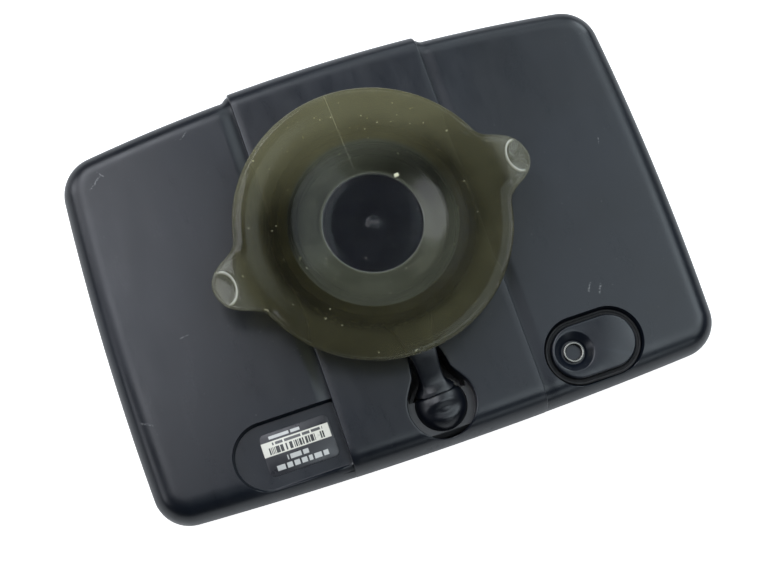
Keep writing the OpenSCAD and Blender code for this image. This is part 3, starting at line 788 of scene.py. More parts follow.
def mount_arm():
    """The inner part of the ball, and the stem that rises from it to the mount's base."""
    ball = Solid()
    n = 96
    edge = math.sqrt(BALL_R ** 2 - (SLIT + SLIT_WIDTH) ** 2)
    profile = [(3.2, SLIT), (3.2, SLIT + SLIT_WIDTH), (edge - 0.3, SLIT + SLIT_WIDTH),
               (edge - 0.1, SLIT + SLIT_WIDTH + 0.06)]
    start = math.asin((SLIT + SLIT_WIDTH + 0.22) / BALL_R)
    r = BALL_R - 0.02
    profile += [(r * math.cos(a), r * math.sin(a)) for a in ramp(start, math.pi / 2 - 0.01, 12)]
    lathe(ball, profile, n)
    ball.cap(circle(3.2, SLIT, n))
    inner = ball.make("ball_inner", "arm", sharp=50, move=BALL_AXIS)

    stem = Solid()
    base_z = ARM_HIGH.z - BALL.z
    # distance along the arm, height, lean, width, thickness and corner radius
    stations = [
        (3.8, 2.3, 30, 9.2, 7.2, 3.6), (4.5, 2.6, 29, 8.0, 6.6, 3.0), (5.1, 2.75, 28, 6.6, 5.8, 1.6),
        (5.9, 3.15, 28, 5.7, 4.8, 0.9), (7.4, 3.9, 27, 5.5, 4.3, 0.8), (9.2, 5.2, 24, 5.6, 3.7, 0.8),
        (11.0, 6.25, 18, 6.1, 3.4, 0.8), (12.8, 7.0, 11, 6.6, 3.2, 0.8),
        (15.0, base_z - 1.7, 4, 7.3, 3.2, 0.8),
        (18.5, base_z - 1.7, 0, 9.8, 3.2, 0.8), (23.0, base_z - 1.85, 0, 13.0, 3.4, 0.8),
        (25.0, base_z - 1.85, 0, 13.4, 3.4, 0.8),
    ]
    rows = [section(y, z, math.radians(lean), w, t, r) for y, z, lean, w, t, r in stations]
    fine = []
    for low, high in zip(rows, rows[1:]):
        fine += [[p.lerp(q, t / 4) for p, q in zip(low, high)] for t in range(4)]
    fine.append(rows[-1])
    stem.rows(fine)
    stem.cap(fine[0])
    stem.cap(fine[-1])
    piece = stem.make("arm_stem", "arm", sharp=60, move=AT_BALL)
    relax(piece, 6)
    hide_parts("mount_arm")

    base = Solid()
    low, high = SPINE_HIGH.z + 0.4, ARM_HIGH.z
    profile = rounded([(3.0, low), (20, low), (20, high), (18.7, high), (18.7, low + 1.4), (12.2, low + 1.4),
                       (12.2, high), (10.8, high), (10.8, low + 0.8), (3.0, low + 0.8)], 0.35)
    profile.append((3.0, low))
    lathe(base, profile, 128)
    head = base.make("head_base", "arm", sharp=50, move=AT_HEAD)
    return [inner, piece, head]


def relax(piece, rounds):
    """Even out a lofted skin without moving its ends."""
    b = bmesh.new()
    b.from_mesh(piece.data)
    ys = [v.co.y for v in b.verts]
    low, high = min(ys), max(ys)
    inner = [v for v in b.verts if low + 0.001 < v.co.y < high - 0.001]
    for _ in range(rounds):
        bmesh.ops.smooth_vert(b, verts=inner, factor=0.35, use_axis_x=True, use_axis_y=True, use_axis_z=True)
    b.to_mesh(piece.data)
    b.free()


# ---- mount head ----

def pressure_plate():
    solid = Solid()
    top, floor = PLATE_HIGH.z, LOCK_LOW.z + 1.1 + 0.8
    profile = rounded([(2.7, floor), (16.2, floor), (17.0, floor + 0.8), (17.0, top), (18.4, top),
                       (18.4, floor - 0.8), (7.0, floor - 0.8), (7.0, PLATE_LOW.z), (2.7, PLATE_LOW.z)], 0.3)
    profile.append((2.7, floor))
    lathe(solid, profile, 128)
    piece = solid.make("cup_plate", "arm", sharp=50, move=AT_HEAD)
    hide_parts("pressure_plate")
    return piece


def lock_ring():
    solid = Solid()
    web, high = GRIP_LOW.z, LOCK_HIGH.z
    profile = rounded([(7.1, web), (7.1, web + 1.0), (19.0, web + 1.0), (19.0, high), (21.4, high),
                       (21.4, web)], 0.3, closed=True)
    lathe(solid, profile + profile[:1], 128)
    piece = solid.make("lock_collar", "lock", sharp=50, move=AT_HEAD)
    # the two ramps below the web, over which the pin rides
    ramps = Solid()
    for start in (0, math.pi):
        rows = []
        for k in range(25):
            share = min(1.0, k / 22.5)
            a = start - math.radians(100) * k / 24
            z = web - 1.5 * share
            rows.append([Vector((r * math.cos(a), r * math.sin(a), h))
                         for r, h in ((7.25, web + 0.1), (7.25, z), (10.4, z), (10.4, web + 0.1))])
        ramps.rows(rows)
        ramps.cap(rows[0])
        ramps.cap(rows[-1])
    cams = ramps.make("lock_ramps", "lock", sharp=30, move=AT_HEAD)
    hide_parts("lock_ring")
    return [piece, cams]


def grip_band():
    """The ribbed rubber band round the lock ring."""
    solid = Solid()
    ribs, fine = 56, 12
    n = ribs * fine
    low, high = GRIP_LOW.z, GRIP_HIGH.z
    outer = (GRIP_HIGH.x - GRIP_LOW.x) / 2

    def ring(r, z, depth):
        out = []
        for i in range(n):
            reach = r - depth * smooth(1 - abs((i % fine) / fine - 0.5) / 0.24)
            out.append(Vector((reach * math.cos(TAU * i / n), reach * math.sin(TAU * i / n), z)))
        return out

    rows = [ring(21.4, low, 0), ring(outer - 0.55, low, 0), ring(outer - 0.2, low + 0.12, 0.15),
            ring(outer, low + 0.5, 0.5), ring(outer, high - 0.5, 0.5), ring(outer - 0.2, high - 0.12, 0.15),
            ring(outer - 0.55, high, 0), ring(21.4, high, 0), ring(21.4, low, 0)]
    solid.rows(rows)
    piece = solid.make("grip_ribs", "lock", sharp=60, move=AT_HEAD)
    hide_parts("grip_band")
    return piece


DISC_R = 11.4


def plunger():
    solid = Solid()
    top, low = PLUNGER_HIGH.z, PLUNGER_LOW.z
    edge = rounded([(8.6, top - 0.02), (DISC_R, top - 0.02), (DISC_R, top - 0.8), (2.6, top - 0.8),
                    (2.6, low)], 0.22)
    profile = [(0, top - 0.25), (1.0, top - 0.24), (1.5, top - 0.1)] + edge + [(0, low)]
    lathe(solid, profile, 128)
    piece = solid.make("plunger_disc", "plunger", sharp=50, move=AT_HEAD)
    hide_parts("plunger")
    return piece


# ---- suction cup ----

CUP_R = 31.4
# Radius of the cup at degrees from the head's X axis; the same again on the other side
TAB_SHAPE = (
    (-14, 31.4), (-11, 31.75), (-9, 32.5), (-7.5, 33.4), (-6, 34.7), (-4.5, 36.0), (-3, 37.05), (-1, 38.0),
    (1, 38.55), (3.5, 38.8), (6, 38.55), (8.5, 38.0), (10.5, 37.2), (12.5, 36.0), (14.5, 34.5), (16.5, 33.0),
    (18.5, 32.0), (21, 31.45), (23, 31.4),
)
TAB_MID = (36.3, 2.3)
TAB_HALF = (2.5, 3.6)


def cup_reach(angle):
    """The cup's radius in a direction in degrees, and the cosine of its outline's slope there."""
    a = (angle + 90) % 180 - 90
    table = TAB_SHAPE
    if not table[0][0] < a < table[-1][0]:
        return CUP_R, 1.0

    def rise(i):
        low, high = max(0, i - 1), min(len(table) - 1, i + 1)
        return (table[high][1] - table[low][1]) / (table[high][0] - table[low][0]) if low < i < high else 0.0

    i = max(k for k, (t, _) in enumerate(table) if t <= a)
    (a0, r0), (a1, r1) = table[i], table[i + 1]
    w, m0, m1 = a1 - a0, rise(i), rise(i + 1)
    t = (a - a0) / w
    r = (r0 * (1 + 2 * t) + m0 * w * t) * (1 - t) ** 2 + (r1 * (3 - 2 * t) - m1 * w * (1 - t)) * t * t
    slope = (m0 + (m1 - m0) * t) * 180 / math.pi
    return r, r / math.hypot(r, slope)


def tab_dent(p):
    """Depth of the thumb hollow in each tab, with the raised rim on its inner side."""
    q = p if p.x > 0 else -p
    if q.x < 32:
        return 0.0
    d = math.hypot((q.x - TAB_MID[0]) / TAB_HALF[0], (q.y - TAB_MID[1]) / TAB_HALF[1])
    ridge = 0.17 * math.exp(-((d - 1.07) / 0.085) ** 2) * (1 - smooth((q.x - 35.2) / 2.4))
    lean = 0.11 * max(0.0, q.x - 0.12 * q.y - 33.0)
    return 0.5 * max(0.0, 1 - d * d) ** 0.8 - ridge + lean


def cup_top(p, edge):
    """Height of the cup's face; edge is how far p is inside its outline."""
    r = p.length
    centre, shelf, rim = PLUNGER_HIGH.z + 0.8, CUP_HIGH.z - 0.85, CUP_HIGH.z - 0.2
    z = centre + (shelf - centre) * smooth((r - 8.5) / 11)
    z += (rim - shelf) * smooth((r - 19.5) / 22)
    z += 0.3 * smooth((r - 24) / 7) * smooth(edge / 3)
    z -= 0.07 * (1 - smooth((edge - 0.75) / 0.2))
    z += 0.1 * math.exp(-((edge - 0.34) / 0.17) ** 2) - 0.3 * max(0.0, 1 - edge / 0.3) ** 2
    pip = 0.22 * math.exp(-(r / 0.45) ** 2) + 0.12 * math.exp(-((r - 1.25) / 0.22) ** 2)
    groove = 0.05 * math.exp(-((r - 11.75) / 0.16) ** 2)
    return min(z - tab_dent(p) + pip - groove, CUP_HIGH.z - 0.01)


def cup_under(p, edge):
    r = p.length
    low, seat = PLUNGER_HIGH.z + 0.03, PLATE_HIGH.z + 0.06
    z = low + (seat - low) * smooth((r - 11.6) / 5.2)
    z += 0.1 * smooth((r - 18.6) / 4)
    return min(z, cup_top(p, edge) - 0.3) - 0.1 * smooth((r - CUP_R + 1) / 1.5)


def suction_cup():
    solid = Solid()
    angles = []
    for start in (0, 180):
        angles += [start + a for a in steps(-15, 24, 0.36) + steps(24, 165, 1.6)]
    reach = [cup_reach(a) for a in angles]
    ways = [Vector((math.cos(math.radians(a)), math.sin(math.radians(a)))) for a in angles]
    lip = 0.04

    def row(place, height):
        """A closed row of points; place gives each one's radius from the outline's."""
        out = []
        for way, (r, cosine) in zip(ways, reach):
            q = place(r)
            out.append(Vector((*(way * q), height(way * q, (r - q) * cosine))))
        return out

    inner = ramp(0.001, 2.0, 10) + ramp(2.0, 8.5, 6)[1:] + ramp(8.5, 26, 40)[1:]
    top = [row(lambda r, q=q: q, cup_top) for q in inner]
    top += [row(lambda r, t=t: 26 + (r - lip - 26) * t, cup_top) for t in ramp(0, 1, 44)[1:]]
    top.append(row(lambda r: r - lip * 0.4, cup_top))
    under = [row(lambda r, q=q: q, cup_under) for q in inner[::3]]
    under += [row(lambda r, t=t: 26 + (r - 0.1 - 26) * t, cup_under) for t in ramp(0, 1, 14)]
    edge = []
    for k in (0.15, 0.35, 0.65, 0.85):
        bulge = 0.1 * math.sin(math.pi * k)
        edge.append([Vector((*(a.xy + a.xy.normalized() * bulge), a.z + (b.z - a.z) * k))
                     for a, b in zip(top[-1], under[-1])])
    solid.rows(top + edge + list(reversed(under)))
    solid.cap(top[0])
    solid.cap(under[0])
    piece = solid.make("cup_skin", None, sharp=75, move=AT_HEAD, weld=0.0005)
    start = Vector((HEAD.x, HEAD.y, PLUNGER_HIGH.z + 0.8)) * MM
    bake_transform(piece)
    return piece


# ---- materials ----

class Look:
    """A material's node tree, with short calls for the nodes that this scene uses."""

    def __init__(self, name):
        self.material = bpy.data.materials.new(name)
        self.material.use_nodes = True
        self.tree = self.material.node_tree
        self.tree.nodes.clear()
        self.out = self.tree.nodes.new("ShaderNodeOutputMaterial")
        self.place = self.node("TexCoord").outputs["Object"]

    def node(self, kind, inputs=None, **settings):
        n = self.tree.nodes.new("ShaderNode" + kind)
        for key, value in settings.items():
            setattr(n, key, value)
        for key, value in (inputs or {}).items():
            self.set(n.inputs[key], value)
        return n

    def set(self, socket, value):
        if isinstance(value, bpy.types.NodeSocket):
            self.tree.links.new(value, socket)
        else:
            socket.default_value = value

    def math(self, operation, a, b=0.0, c=0.0, clamp=False):
        n = self.node("Math", {0: a, 1: b, 2: c}, operation=operation)
        n.use_clamp = clamp
        return n.outputs[0]

    def plus(self, a, b, clamp=False):
        return self.math("ADD", a, b, clamp=clamp)

    def times(self, a, b, clamp=False):
        return self.math("MULTIPLY", a, b, clamp=clamp)

    def spun(self, centre, angle):
        """The place turned about a vertical axis, as three numbers."""
        n = self.node("VectorRotate", {"Vector": self.place, "Center": centre, "Axis": (0, 0, 1),
                                       "Angle": angle},
                      rotation_type="AXIS_ANGLE")
        return self.node("SeparateXYZ", {0: n.outputs[0]})

    def mapped(self, scale=(1, 1, 1), turn=0.0, shift=(0, 0, 0)):
        n = self.node("Mapping", {"Vector": self.place, "Scale": scale, "Rotation": (0, 0, turn),
                                  "Location": shift})
        return n.outputs[0]

    def noise(self, scale, detail=3.0, rough=0.5, vector=None):
        n = self.node("TexNoise", {"Vector": vector or self.place, "Scale": scale, "Detail": detail,
                                   "Roughness": rough})
        return n.outputs["Fac"]

    def spread(self, value, low, high, to_low=0.0, to_high=1.0):
        n = self.node("MapRange", {"Value": value, "From Min": low, "From Max": high,
                                   "To Min": to_low, "To Max": to_high})
        n.interpolation_type = "SMOOTHSTEP"
        return n.outputs[0]

    def mix(self, share, a, b):
        n = self.tree.nodes.new("ShaderNodeMix")
        n.data_type = "RGBA"
        self.set(n.inputs[0], share)
        self.set(n.inputs[6], (*a, 1) if isinstance(a, tuple) else a)
        self.set(n.inputs[7], (*b, 1) if isinstance(b, tuple) else b)
        return n.outputs[2]

    def bump(self, height, strength, distance):
        n = self.node("Bump", {"Strength": strength, "Distance": distance, "Height": height})
        return n.outputs[0]

    def surface(self, color, rough, normal=None, **sockets):
        n = self.node("BsdfPrincipled")
        self.set(n.inputs["Base Color"], (*color, 1) if isinstance(color, tuple) else color)
        self.set(n.inputs["Roughness"], rough)
        if normal is not None:
            self.set(n.inputs["Normal"], normal)
        for key, value in sockets.items():
            self.set(n.inputs[key.replace("_", " ")], value)
        self.tree.links.new(n.outputs[0], self.out.inputs["Surface"])
        return self.material


def toned(color, times, plus=0.0):
    return tuple(c * times + plus for c in color)


def scuff_mask(look, marks):
    """Fine pale scratches as (x, y, direction, length, width) in millimetres and degrees."""
    total = 0.0
    for x, y, turn, length, width in marks:
        parts = look.spun((x * MM, y * MM, 0), math.radians(-turn))
        bend = look.times(look.math("SUBTRACT", look.noise(260, 1), 0.5), 0.0012)
        along = look.math("ABSOLUTE", look.math("SUBTRACT", parts.outputs[0], x * MM))
        across = look.math("ABSOLUTE", look.plus(look.math("SUBTRACT", parts.outputs[1], y * MM), bend))
        line = look.spread(across, width * MM, 0.0)
        ends = look.spread(along, length * MM / 2, length * MM / 4)
        total = look.plus(total, look.times(line, ends))
    broken = look.spread(look.noise(2600, 2), 0.42, 0.56)
    return look.times(total, broken, clamp=True)


def moulded(name, color, rough=0.31, grain=0.18, marks=(), dust=0.5, specular=0.5):
    """Spark-textured moulded plastic, with a soft drift in tone, handling smears, scratches and dust."""
    look = Look(name)
    drift = look.noise(38, 3, 0.55)
    smear = look.noise(7, 4, 0.6, look.mapped((26, 9, 12), 0.5))
    grains = look.noise(5200, 2, 0.6)
    fine = look.noise(15000, 1, 0.5)
    base = look.mix(look.spread(drift, 0.35, 0.7), color, toned(color, 1.5, 0.001))
    specks = look.spread(look.noise(1700, 1, 0.4), 0.77, 0.81, 0, dust * 0.4)
    base = look.mix(specks, base, (0.16, 0.16, 0.15))
    streaks = look.spread(look.noise(60, 6, 0.7, look.mapped((5, 190, 30), 0.35)), 0.68, 0.76, 0, 0.05)
    base = look.mix(streaks, base, (0.08, 0.08, 0.09))
    if marks:
        base = look.mix(look.times(scuff_mask(look, marks), 0.6), base, (0.20, 0.20, 0.20))
    # Paler colour on sharp convex edges, found from the mesh's pointiness.
    pale_convex_edges = look.spread(look.node("NewGeometry").outputs["Pointiness"], 0.53, 0.62, 0, 0.25)
    base = look.mix(pale_convex_edges, base, toned(color, 3.0, 0.012))
    value = look.plus(look.spread(smear, 0.3, 0.75, rough - 0.03, rough + 0.05),
                      look.spread(fine, 0, 1, -0.03, 0.03))
    height = look.plus(look.times(grains, 0.7), look.times(fine, 0.3))
    return look.surface(base, value, look.bump(height, grain, 0.00006), Specular_IOR_Level=specular)


def rubber(name, color, rough=0.6):
    look = Look(name)
    base = look.mix(look.spread(look.noise(420, 4), 0.3, 0.7), color, toned(color, 1.7, 0.002))
    dusty = look.spread(look.noise(2400, 2), 0.64, 0.77, 0, 0.12)
    base = look.mix(dusty, base, (0.12, 0.115, 0.10))
    return look.surface(base, look.spread(look.noise(900, 2), 0.3, 0.7, rough - 0.08, rough + 0.1),
                        look.bump(look.noise(6500, 2), 0.2, 0.00005), Specular_IOR_Level=0.4)


def metal(name, color, rough=0.28):
    look = Look(name)
    brushed = look.noise(900, 4, 0.6, look.mapped((1, 14, 14)))
    base = look.mix(look.spread(brushed, 0.3, 0.7), color, toned(color, 0.78))
    stain = look.spread(look.noise(300, 4), 0.55, 0.75, 0, 0.35)
    base = look.mix(stain, base, toned(color, 0.5))
    return look.surface(base, look.spread(brushed, 0.3, 0.7, rough - 0.06, rough + 0.12),
                        look.bump(brushed, 0.12, 0.00003), Metallic=1.0)


def smoky_rubber():
    """Olive rubber, clear in its middle and lightly hazy round it, with painted light: a painted reflection
    over the lower half of the plate, haze growing towards its +Y side, a painted paler rim and tabs, and
    painted highlights along the tab ridges.
    """
    look = Look("smoky_rubber")
    centre = (HEAD.x * MM, HEAD.y * MM, 0)
    parts = look.spun(centre, -YAW)
    x = look.math("SUBTRACT", parts.outputs[0], centre[0])
    y = look.math("SUBTRACT", parts.outputs[1], centre[1])
    reach = look.math("SQRT", look.plus(look.times(x, x), look.times(y, y)))
    # Painted reflection: over the lower half of the plate zone (out to about 19.5 mm) the rubber is made
    # cloudier and paler.
    lower = look.times(look.spread(y, 0.004, -0.006), look.spread(reach, 0.0196, 0.0192))
    streak = look.spread(look.noise(30, 5, 0.6, look.mapped((1, 2.6, 1), 0.5)), 0.4, 0.75, 0, 0.03)
    body = look.spread(reach, 0.0113, 0.0117)
    # Painted light: the haze grows towards the cup's +Y side, where the light falls.
    painted_top_light = look.spread(y, 0.007, 0.029, 0.0, 0.18)
    haze_and_painted_light = look.times(body, look.plus(look.plus(streak, 0.015), painted_top_light))
    haze_and_painted_light = look.plus(haze_and_painted_light, look.times(lower, look.times(body, 0.065)))
    # Painted light: the haze rises towards the rim and again out into the tabs, so they read paler.
    haze_and_painted_light = look.plus(haze_and_painted_light, look.spread(reach, 0.0228, 0.0262, 0.0, 0.035))
    haze_and_painted_light = look.plus(haze_and_painted_light, look.spread(reach, 0.0315, 0.0335, 0.0, 0.06))
    ring = look.times(look.spread(reach, 0.0112, 0.0116), look.spread(reach, 0.0122, 0.0118, 0, 0.08))
    out = look.math("SIGN", x)
    tab_x = look.math("DIVIDE", look.plus(look.times(x, out), -TAB_MID[0] * MM), TAB_HALF[0] * MM)
    tab_y = look.math("DIVIDE", look.plus(look.times(y, out), -TAB_MID[1] * MM), TAB_HALF[1] * MM)
    round_tab = look.math("SQRT", look.plus(look.times(tab_x, tab_x), look.times(tab_y, tab_y)))
    # Painted highlight: a pale line along each tab's ridge, on the cup's side of the thumb hollow.
    lip = look.spread(look.math("ABSOLUTE", look.plus(round_tab, -1.06)), 0.10, 0.03)
    lip = look.times(lip, look.spread(tab_x, 0.5, -0.4, 0, 0.42))
    haze_and_painted_light = look.plus(look.plus(haze_and_painted_light, ring), lip, clamp=True)
    cloud = look.noise(55, 4, 0.6)
    olive = look.mix(look.spread(cloud, 0.3, 0.75), (0.32, 0.30, 0.17), (0.38, 0.36, 0.21))
    # Painted reflection: a greyer tone inside about 19.5 mm, seen where the lower crescent makes the rubber
    # cloudy.
    olive = look.mix(look.spread(reach, 0.0195, 0.0192), olive, (0.33, 0.34, 0.25))
    # Painted light: a paler tone out at the rim and in the tabs.
    olive = look.mix(look.spread(reach, 0.0305, 0.0345), olive, (0.46, 0.45, 0.34))
    olive = look.mix(look.spread(reach, 0.0117, 0.0113), olive, (0.85, 0.86, 0.84))
    # Painted highlight along the tab ridges.
    olive = look.mix(lip, olive, (0.9, 0.9, 0.86))
    specks = look.spread(look.noise(1150, 0.5, 0.3), 0.80, 0.815, 0, 0.3)
    seam_x = look.math("ABSOLUTE", look.plus(x, -0.0005))
    seam = look.times(look.spread(seam_x, 0.00010, 0.00003), look.spread(reach, 0.0125, 0.0135, 0, 0.2))
    seam = look.times(seam, look.spread(y, -0.012, 0.002, 0.15, 1.0))
    fleck = look.times(look.spread(look.math("ABSOLUTE", look.plus(x, -0.0090)), 0.0006, 0.0004),
                      look.spread(look.math("ABSOLUTE", look.plus(y, -0.0083)), 0.00042, 0.0003))
    marks = look.plus(look.plus(specks, seam), fleck, clamp=True)
    base = look.mix(marks, olive, (0.62, 0.60, 0.44))
    clear = look.math("SUBTRACT", 1.0, look.plus(haze_and_painted_light, marks, clamp=True), clamp=True)
    rough = look.spread(look.noise(240, 4, 0.6), 0.3, 0.7, 0.07, 0.13)
    return look.surface(base, rough, look.bump(look.noise(60, 2), 0.05, 0.0003),
                        Transmission_Weight=clear, IOR=1.31, Specular_IOR_Level=0.16)


def gloss_plastic(name, color, rough=0.16):
    look = Look(name)
    base = look.mix(look.spread(look.noise(160, 3), 0.35, 0.7), color, toned(color, 1.8, 0.001))
    specks = look.spread(look.noise(2100, 1), 0.74, 0.78, 0, 0.5)
    base = look.mix(specks, base, (0.3, 0.3, 0.28))
    return look.surface(base, look.spread(look.noise(70, 4), 0.3, 0.7, rough - 0.05, rough + 0.1),
                        look.bump(look.noise(900, 2), 0.05, 0.00004), Coat_Weight=0.3, Coat_Roughness=0.08)


def printed_label():
    """A dark film with a pale strip of bars and plain blocks, and nothing that can be read."""
    look = Look("printed_label")
    low, high = LABEL_LOW * MM, LABEL_HIGH * MM
    parts = look.node("SeparateXYZ", {0: look.place})
    u = look.node("MapRange", {"Value": parts.outputs[0], "From Min": low.x, "From Max": high.x}).outputs[0]
    v = look.node("MapRange", {"Value": parts.outputs[1], "From Min": low.y, "From Max": high.y}).outputs[0]

    def between(value, a, b, soft=0.006):
        return look.times(look.spread(value, a - soft, a + soft), look.spread(value, b + soft, b - soft))

    def bars(count, seed, share):
        cell = look.math("FLOOR", look.times(u, count))
        noise = look.node("TexWhiteNoise", {"W": look.plus(cell, seed)}, noise_dimensions="1D")
        return look.math("LESS_THAN", noise.outputs[0], share)

    base = look.mix(look.spread(look.noise(500, 3), 0.3, 0.7), (0.012, 0.012, 0.016), (0.020, 0.020, 0.024))
    base = look.mix(between(v, 0.0, 0.47), base, (0.024, 0.024, 0.028))
    base = look.mix(look.times(between(v, 0.47, 0.80), between(u, -0.1, 0.97)), base, (0.66, 0.64, 0.56))
    code = look.times(bars(92, 3.0, 0.48), look.times(between(v, 0.50, 0.66), between(u, 0.07, 0.93)))
    base = look.mix(code, base, (0.03, 0.03, 0.03))
    ink = look.times(bars(46, 11.0, 0.66), look.times(between(v, 0.70, 0.765), between(u, 0.14, 0.88)))
    base = look.mix(ink, base, (0.08, 0.08, 0.08))
    for low_v, high_v, low_u, high_u, seed in ((0.85, 0.92, 0.12, 0.60, 21.0), (0.28, 0.39, 0.30, 0.62, 31.0),
                                               (0.10, 0.22, 0.12, 0.86, 41.0)):
        row = look.times(between(v, low_v, high_v), between(u, low_u, high_u))
        base = look.mix(look.times(row, bars(38, seed, 0.74)), base, (0.50, 0.50, 0.48))
    wear = look.spread(look.noise(700, 5, 0.7), 0.60, 0.75, 0, 0.5)
    base = look.mix(wear, base, (0.03, 0.03, 0.034))
    return look.surface(base, look.spread(look.noise(400, 3), 0.3, 0.7, 0.26, 0.42),
                        look.bump(look.noise(1500, 2), 0.06, 0.00003))


def speckled(name, color, other, rough, scale=700, **sockets):
    """A plain inner material with a fine mottled tone."""
    look = Look(name)
    base = look.mix(look.spread(look.noise(scale, 4), 0.35, 0.65), color, other)
    return look.surface(base, rough, look.bump(look.noise(scale * 4, 2), 0.1, 0.00004), **sockets)


def board_look():
    """Green solder mask over faint copper tracks."""
    look = Look("solder_mask")
    parts = look.node("TexBrick", {"Vector": look.mapped((1, 1, 1)), "Color1": (0.02, 0.13, 0.07, 1),
                                   "Color2": (0.025, 0.15, 0.08, 1), "Mortar": (0.05, 0.24, 0.12, 1),
                                   "Scale": 260.0, "Mortar Size": 0.04})
    base = look.mix(look.spread(look.noise(1600, 1), 0.72, 0.74), parts.outputs[0], (0.7, 0.6, 0.35))
    return look.surface(base, 0.32, look.bump(parts.outputs[1], 0.2, 0.00004),
                        Coat_Weight=0.4, Coat_Roughness=0.15)


def glass_look():
    look = Look("touch_glass")
    smear = look.noise(90, 5, 0.65)
    base = look.mix(look.spread(smear, 0.4, 0.7), (0.012, 0.013, 0.016), (0.02, 0.022, 0.026))
    return look.surface(base, look.spread(smear, 0.35, 0.75, 0.06, 0.24),
                        look.bump(look.noise(3000, 1), 0.03, 0.00003), Coat_Weight=0.6, Coat_Roughness=0.05)


SCUFFS = (
    (-58.5, 35.0, 38, 4.5, 0.35), (-56.6, 36.6, -52, 2.5, 0.3), (-36.0, 39.5, 40, 3.2, 0.25),
    (-64.0, -22.0, -35, 4.0, 0.3), (41.5, -24.6, 62, 3.2, 0.3), (43.6, -25.6, 62, 3.0, 0.3),
    (56.0, 8.0, 80, 2.0, 0.22), (-50.0, -6.0, 15, 2.4, 0.2), (30.5, 16.0, -60, 3.0, 0.2),
)

HOUSING = moulded("housing_moulding", (0.0016, 0.0030, 0.0062), marks=SCUFFS)
SPINE_LOOK = moulded("spine_moulding", (0.0010, 0.0022, 0.0054), rough=0.31, dust=0.35)
MOUNT = moulded("mount_moulding", (0.0012, 0.0020, 0.0045), rough=0.34, grain=0.08, dust=0.3)
PLATE = moulded("plate_moulding", (0.0014, 0.0018, 0.0036), rough=0.55, grain=0.05, dust=0.1, specular=0.12)
LOCK = moulded("lock_moulding", (0.030, 0.030, 0.033), rough=0.42, grain=0.12, dust=0.2)
ACETAL = moulded("acetal", (0.02, 0.02, 0.021), rough=0.38, grain=0.05, dust=0.0)
BLACK_RUBBER = rubber("black_rubber", (0.004, 0.004, 0.0045))
CUP_LOOK = smoky_rubber()
NAVY_DISC = moulded("navy_disc", (0.0014, 0.0020, 0.0055), rough=0.5, grain=0.02, dust=0.0, specular=0.12)
STEEL = metal("plated_steel", (0.60, 0.60, 0.62))
JACK = metal("plated_brass", (0.26, 0.25, 0.23), 0.20)
LABEL = printed_label()
GLASS = glass_look()
DISPLAY = gloss_plastic("display_black", (0.01, 0.01, 0.012))
BOARD = board_look()
CHIPS = speckled("chip_packages", (0.02, 0.02, 0.021), (0.035, 0.035, 0.036), 0.5)
CERAMIC = speckled("patch_ceramic", (0.55, 0.48, 0.38), (0.64, 0.58, 0.48), 0.55)
FOIL = speckled("pouch_foil", (0.55, 0.56, 0.58), (0.68, 0.69, 0.70), 0.35, 300, Metallic=0.8)
FOAM = speckled("closed_foam", (0.03, 0.03, 0.032), (0.06, 0.06, 0.062), 0.9, 2200)
CONE = speckled("paper_cone", (0.02, 0.02, 0.02), (0.04, 0.04, 0.04), 0.7, 1500)
FILM = speckled("amber_film", (0.45, 0.20, 0.04), (0.55, 0.27, 0.06), 0.3)

NODE_LOOKS = {
    "touch_panel": GLASS, "display_module": DISPLAY, "display_frame": STEEL, "display_ribbon": FILM,
    "main_board": BOARD, "board_chips": CHIPS, "board_shield": STEEL, "satellite_antenna": CERAMIC,
    "battery": FOIL, "battery_pad": FOAM, "speaker": CONE, "speaker_gasket": FOAM, "usb_socket": STEEL,
    "power_switch": CHIPS, "jack_contact": JACK, "case_screws": STEEL, "board_screws": STEEL,
    "socket_screws": STEEL, "head_screws": STEEL, "ball_screw": STEEL, "cross_pin": STEEL,
    "ball_socket": ACETAL, "socket_collar": ACETAL, "swivel_seat": ACETAL,
}


def dress(piece, material):
    piece.data.materials.clear()
    piece.data.materials.append(material)


def dress_nodes():
    for name, material in NODE_LOOKS.items():
        piece = frame["nodes"][name]
        if not piece.material_slots:
            piece.data.materials.append(material)
        for s in piece.material_slots:
            s.material = material


# ---- assembly ----

def build():
    shell = back_cover()
    port, button = (PORT_LOW + PORT_HIGH) / 2, (BUTTON_LOW + BUTTON_HIGH) / 2
    cut(shell, [pill_cutter((port.x, PORT_HIGH.y, port.z), "y", 8.4, 3.5, 9, 0.5),
                pill_cutter((button.x, BUTTON_HIGH.y, button.z), "y", 9.6, 3.8, 9.6)])
    dress(shell, HOUSING)
    band = spine_cover()
    cut(band, [pill_cutter((0, 8 + 3.4 * i, SPINE_HIGH.z), "z", 18 - 2 * abs(i), 1.5, 2.2)
               for i in range(-2, 3)])
    dress(band, SPINE_LOOK)
    dress(front_bezel(), HOUSING)
    dress(jack_insert(), HOUSING)
    dress(power_button(), HOUSING)
    dress(jack_seal(), BLACK_RUBBER)
    dress(aerial_jack(), JACK)
    dress(rating_label(), LABEL)
    dress(ball_cap(), MOUNT)
    dress(ball_ring(), BLACK_RUBBER)
    for piece in mount_arm():
        dress(piece, MOUNT)
    dress(pressure_plate(), PLATE)
    for piece in lock_ring():
        dress(piece, LOCK)
    dress(grip_band(), BLACK_RUBBER)
    dress(plunger(), NAVY_DISC)
    cup = suction_cup()
    dress(cup, CUP_LOOK)
    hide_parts("suction_cup")
    dress_nodes()


# ---- stage ----

COOL = (0.88, 0.99, 1.05)
MID = (0.94, 0.97, 1.05)


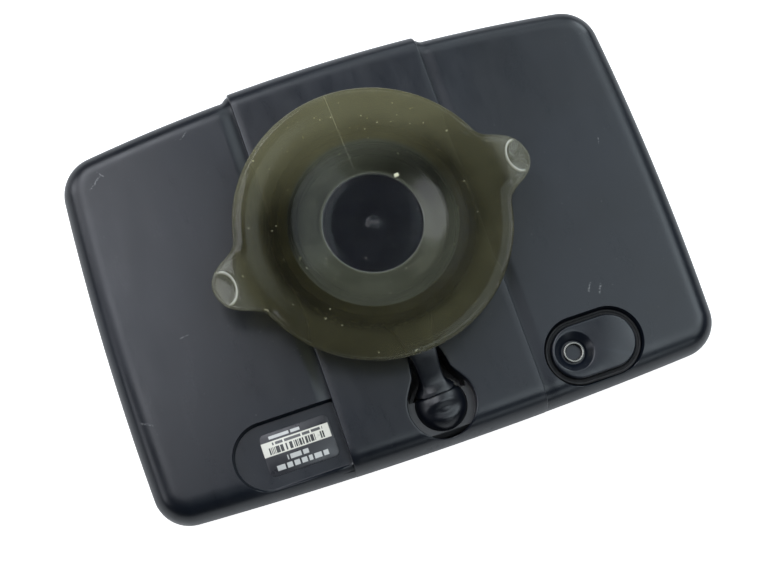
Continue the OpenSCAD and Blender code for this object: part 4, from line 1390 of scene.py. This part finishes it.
def soft_light(elevation, azimuth, power, tint):
    """A round soft light 1.2 m away that faces the object."""
    rise, turn = math.radians(elevation), math.radians(azimuth)
    way = Vector((math.cos(rise) * math.cos(turn), math.cos(rise) * math.sin(turn), math.sin(rise)))
    data = bpy.data.lights.new("soft", "AREA")
    data.shape = "DISK"
    data.size = 0.55 if elevation > 30 else 0.5
    data.energy = power
    data.color = tint
    lamp = bpy.data.objects.new("soft", data)
    lamp.location = way * 1.2
    lamp.rotation_euler = (-way).to_track_quat("-Z", "Y").to_euler()
    bpy.context.scene.collection.objects.link(lamp)


def stage():
    floor = bpy.data.meshes.new("floor")
    half = 1.6
    corners = [(-half, -half, 0), (half, -half, 0), (half, half, 0), (-half, half, 0)]
    floor.from_pydata(corners, [], [(0, 1, 2, 3)])
    ground = bpy.data.objects.new("floor", floor)
    bpy.context.scene.collection.objects.link(ground)
    ground.location.z = -0.0002
    look = Look("white_sweep")
    grain = look.spread(look.noise(40, 2), 0.3, 0.7, 0.58, 0.62)
    tone = look.node("CombineColor", {0: grain, 1: grain, 2: grain}).outputs[0]
    seen = look.spread(look.node("LightPath").outputs["Is Camera Ray"], 0, 1, 0.12, 0.95)
    ground.data.materials.append(look.surface(tone, 0.8, Emission_Color=(1, 1, 1, 1), Emission_Strength=seen))

    world = bpy.data.worlds.new("tent")
    bpy.context.scene.world = world
    world.use_nodes = True
    back = world.node_tree.nodes["Background"]
    path = world.node_tree.nodes.new("ShaderNodeLightPath")
    seen = world.node_tree.nodes.new("ShaderNodeMapRange")
    seen.inputs["To Min"].default_value = 0.05
    seen.inputs["To Max"].default_value = 1.1
    world.node_tree.links.new(path.outputs["Is Camera Ray"], seen.inputs["Value"])
    world.node_tree.links.new(seen.outputs[0], back.inputs["Strength"])
    back.inputs["Color"].default_value = (0.94, 0.97, 1.0, 1)
    # direction of each soft light as elevation and azimuth, its strength and its tint
    for elevation, azimuth, power, tint in (
            (68, 135, 3.0, MID), (68, 315, 1.9, COOL), (68, 15, 1.0, COOL), (46, 0, 2.6, COOL),
            (46, 36, 1.5, COOL), (46, 72, 1.0, COOL), (46, 108, 4.3, MID), (46, 144, 1.6, MID),
            (46, 324, 1.5, COOL), (24, 36, 2.7, COOL), (24, 72, 1.1, COOL), (24, 144, 3.2, MID),
            (24, 180, 1.4, MID), (24, 288, 0.9, COOL)):
        soft_light(elevation, azimuth, power, tint)
    bpy.context.scene.view_settings.view_transform = "Standard"

    camera = bpy.data.cameras.new("camera")
    camera.lens = 70.3
    camera.sensor_width = 36
    view = bpy.data.objects.new("camera", camera)
    right = Vector((0.94274, -0.32929, 0.05224))
    up = Vector((0.31113, 0.92522, 0.21743))
    ahead = Vector((0.11989, 0.1887, -0.97465))
    turn = Matrix((right, up, -ahead)).transposed().to_4x4()
    view.matrix_world = Matrix.Translation((-0.0447, -0.07443, 0.34943)) @ turn
    bpy.context.scene.collection.objects.link(view)
    bpy.context.scene.camera = view


build()
stage()
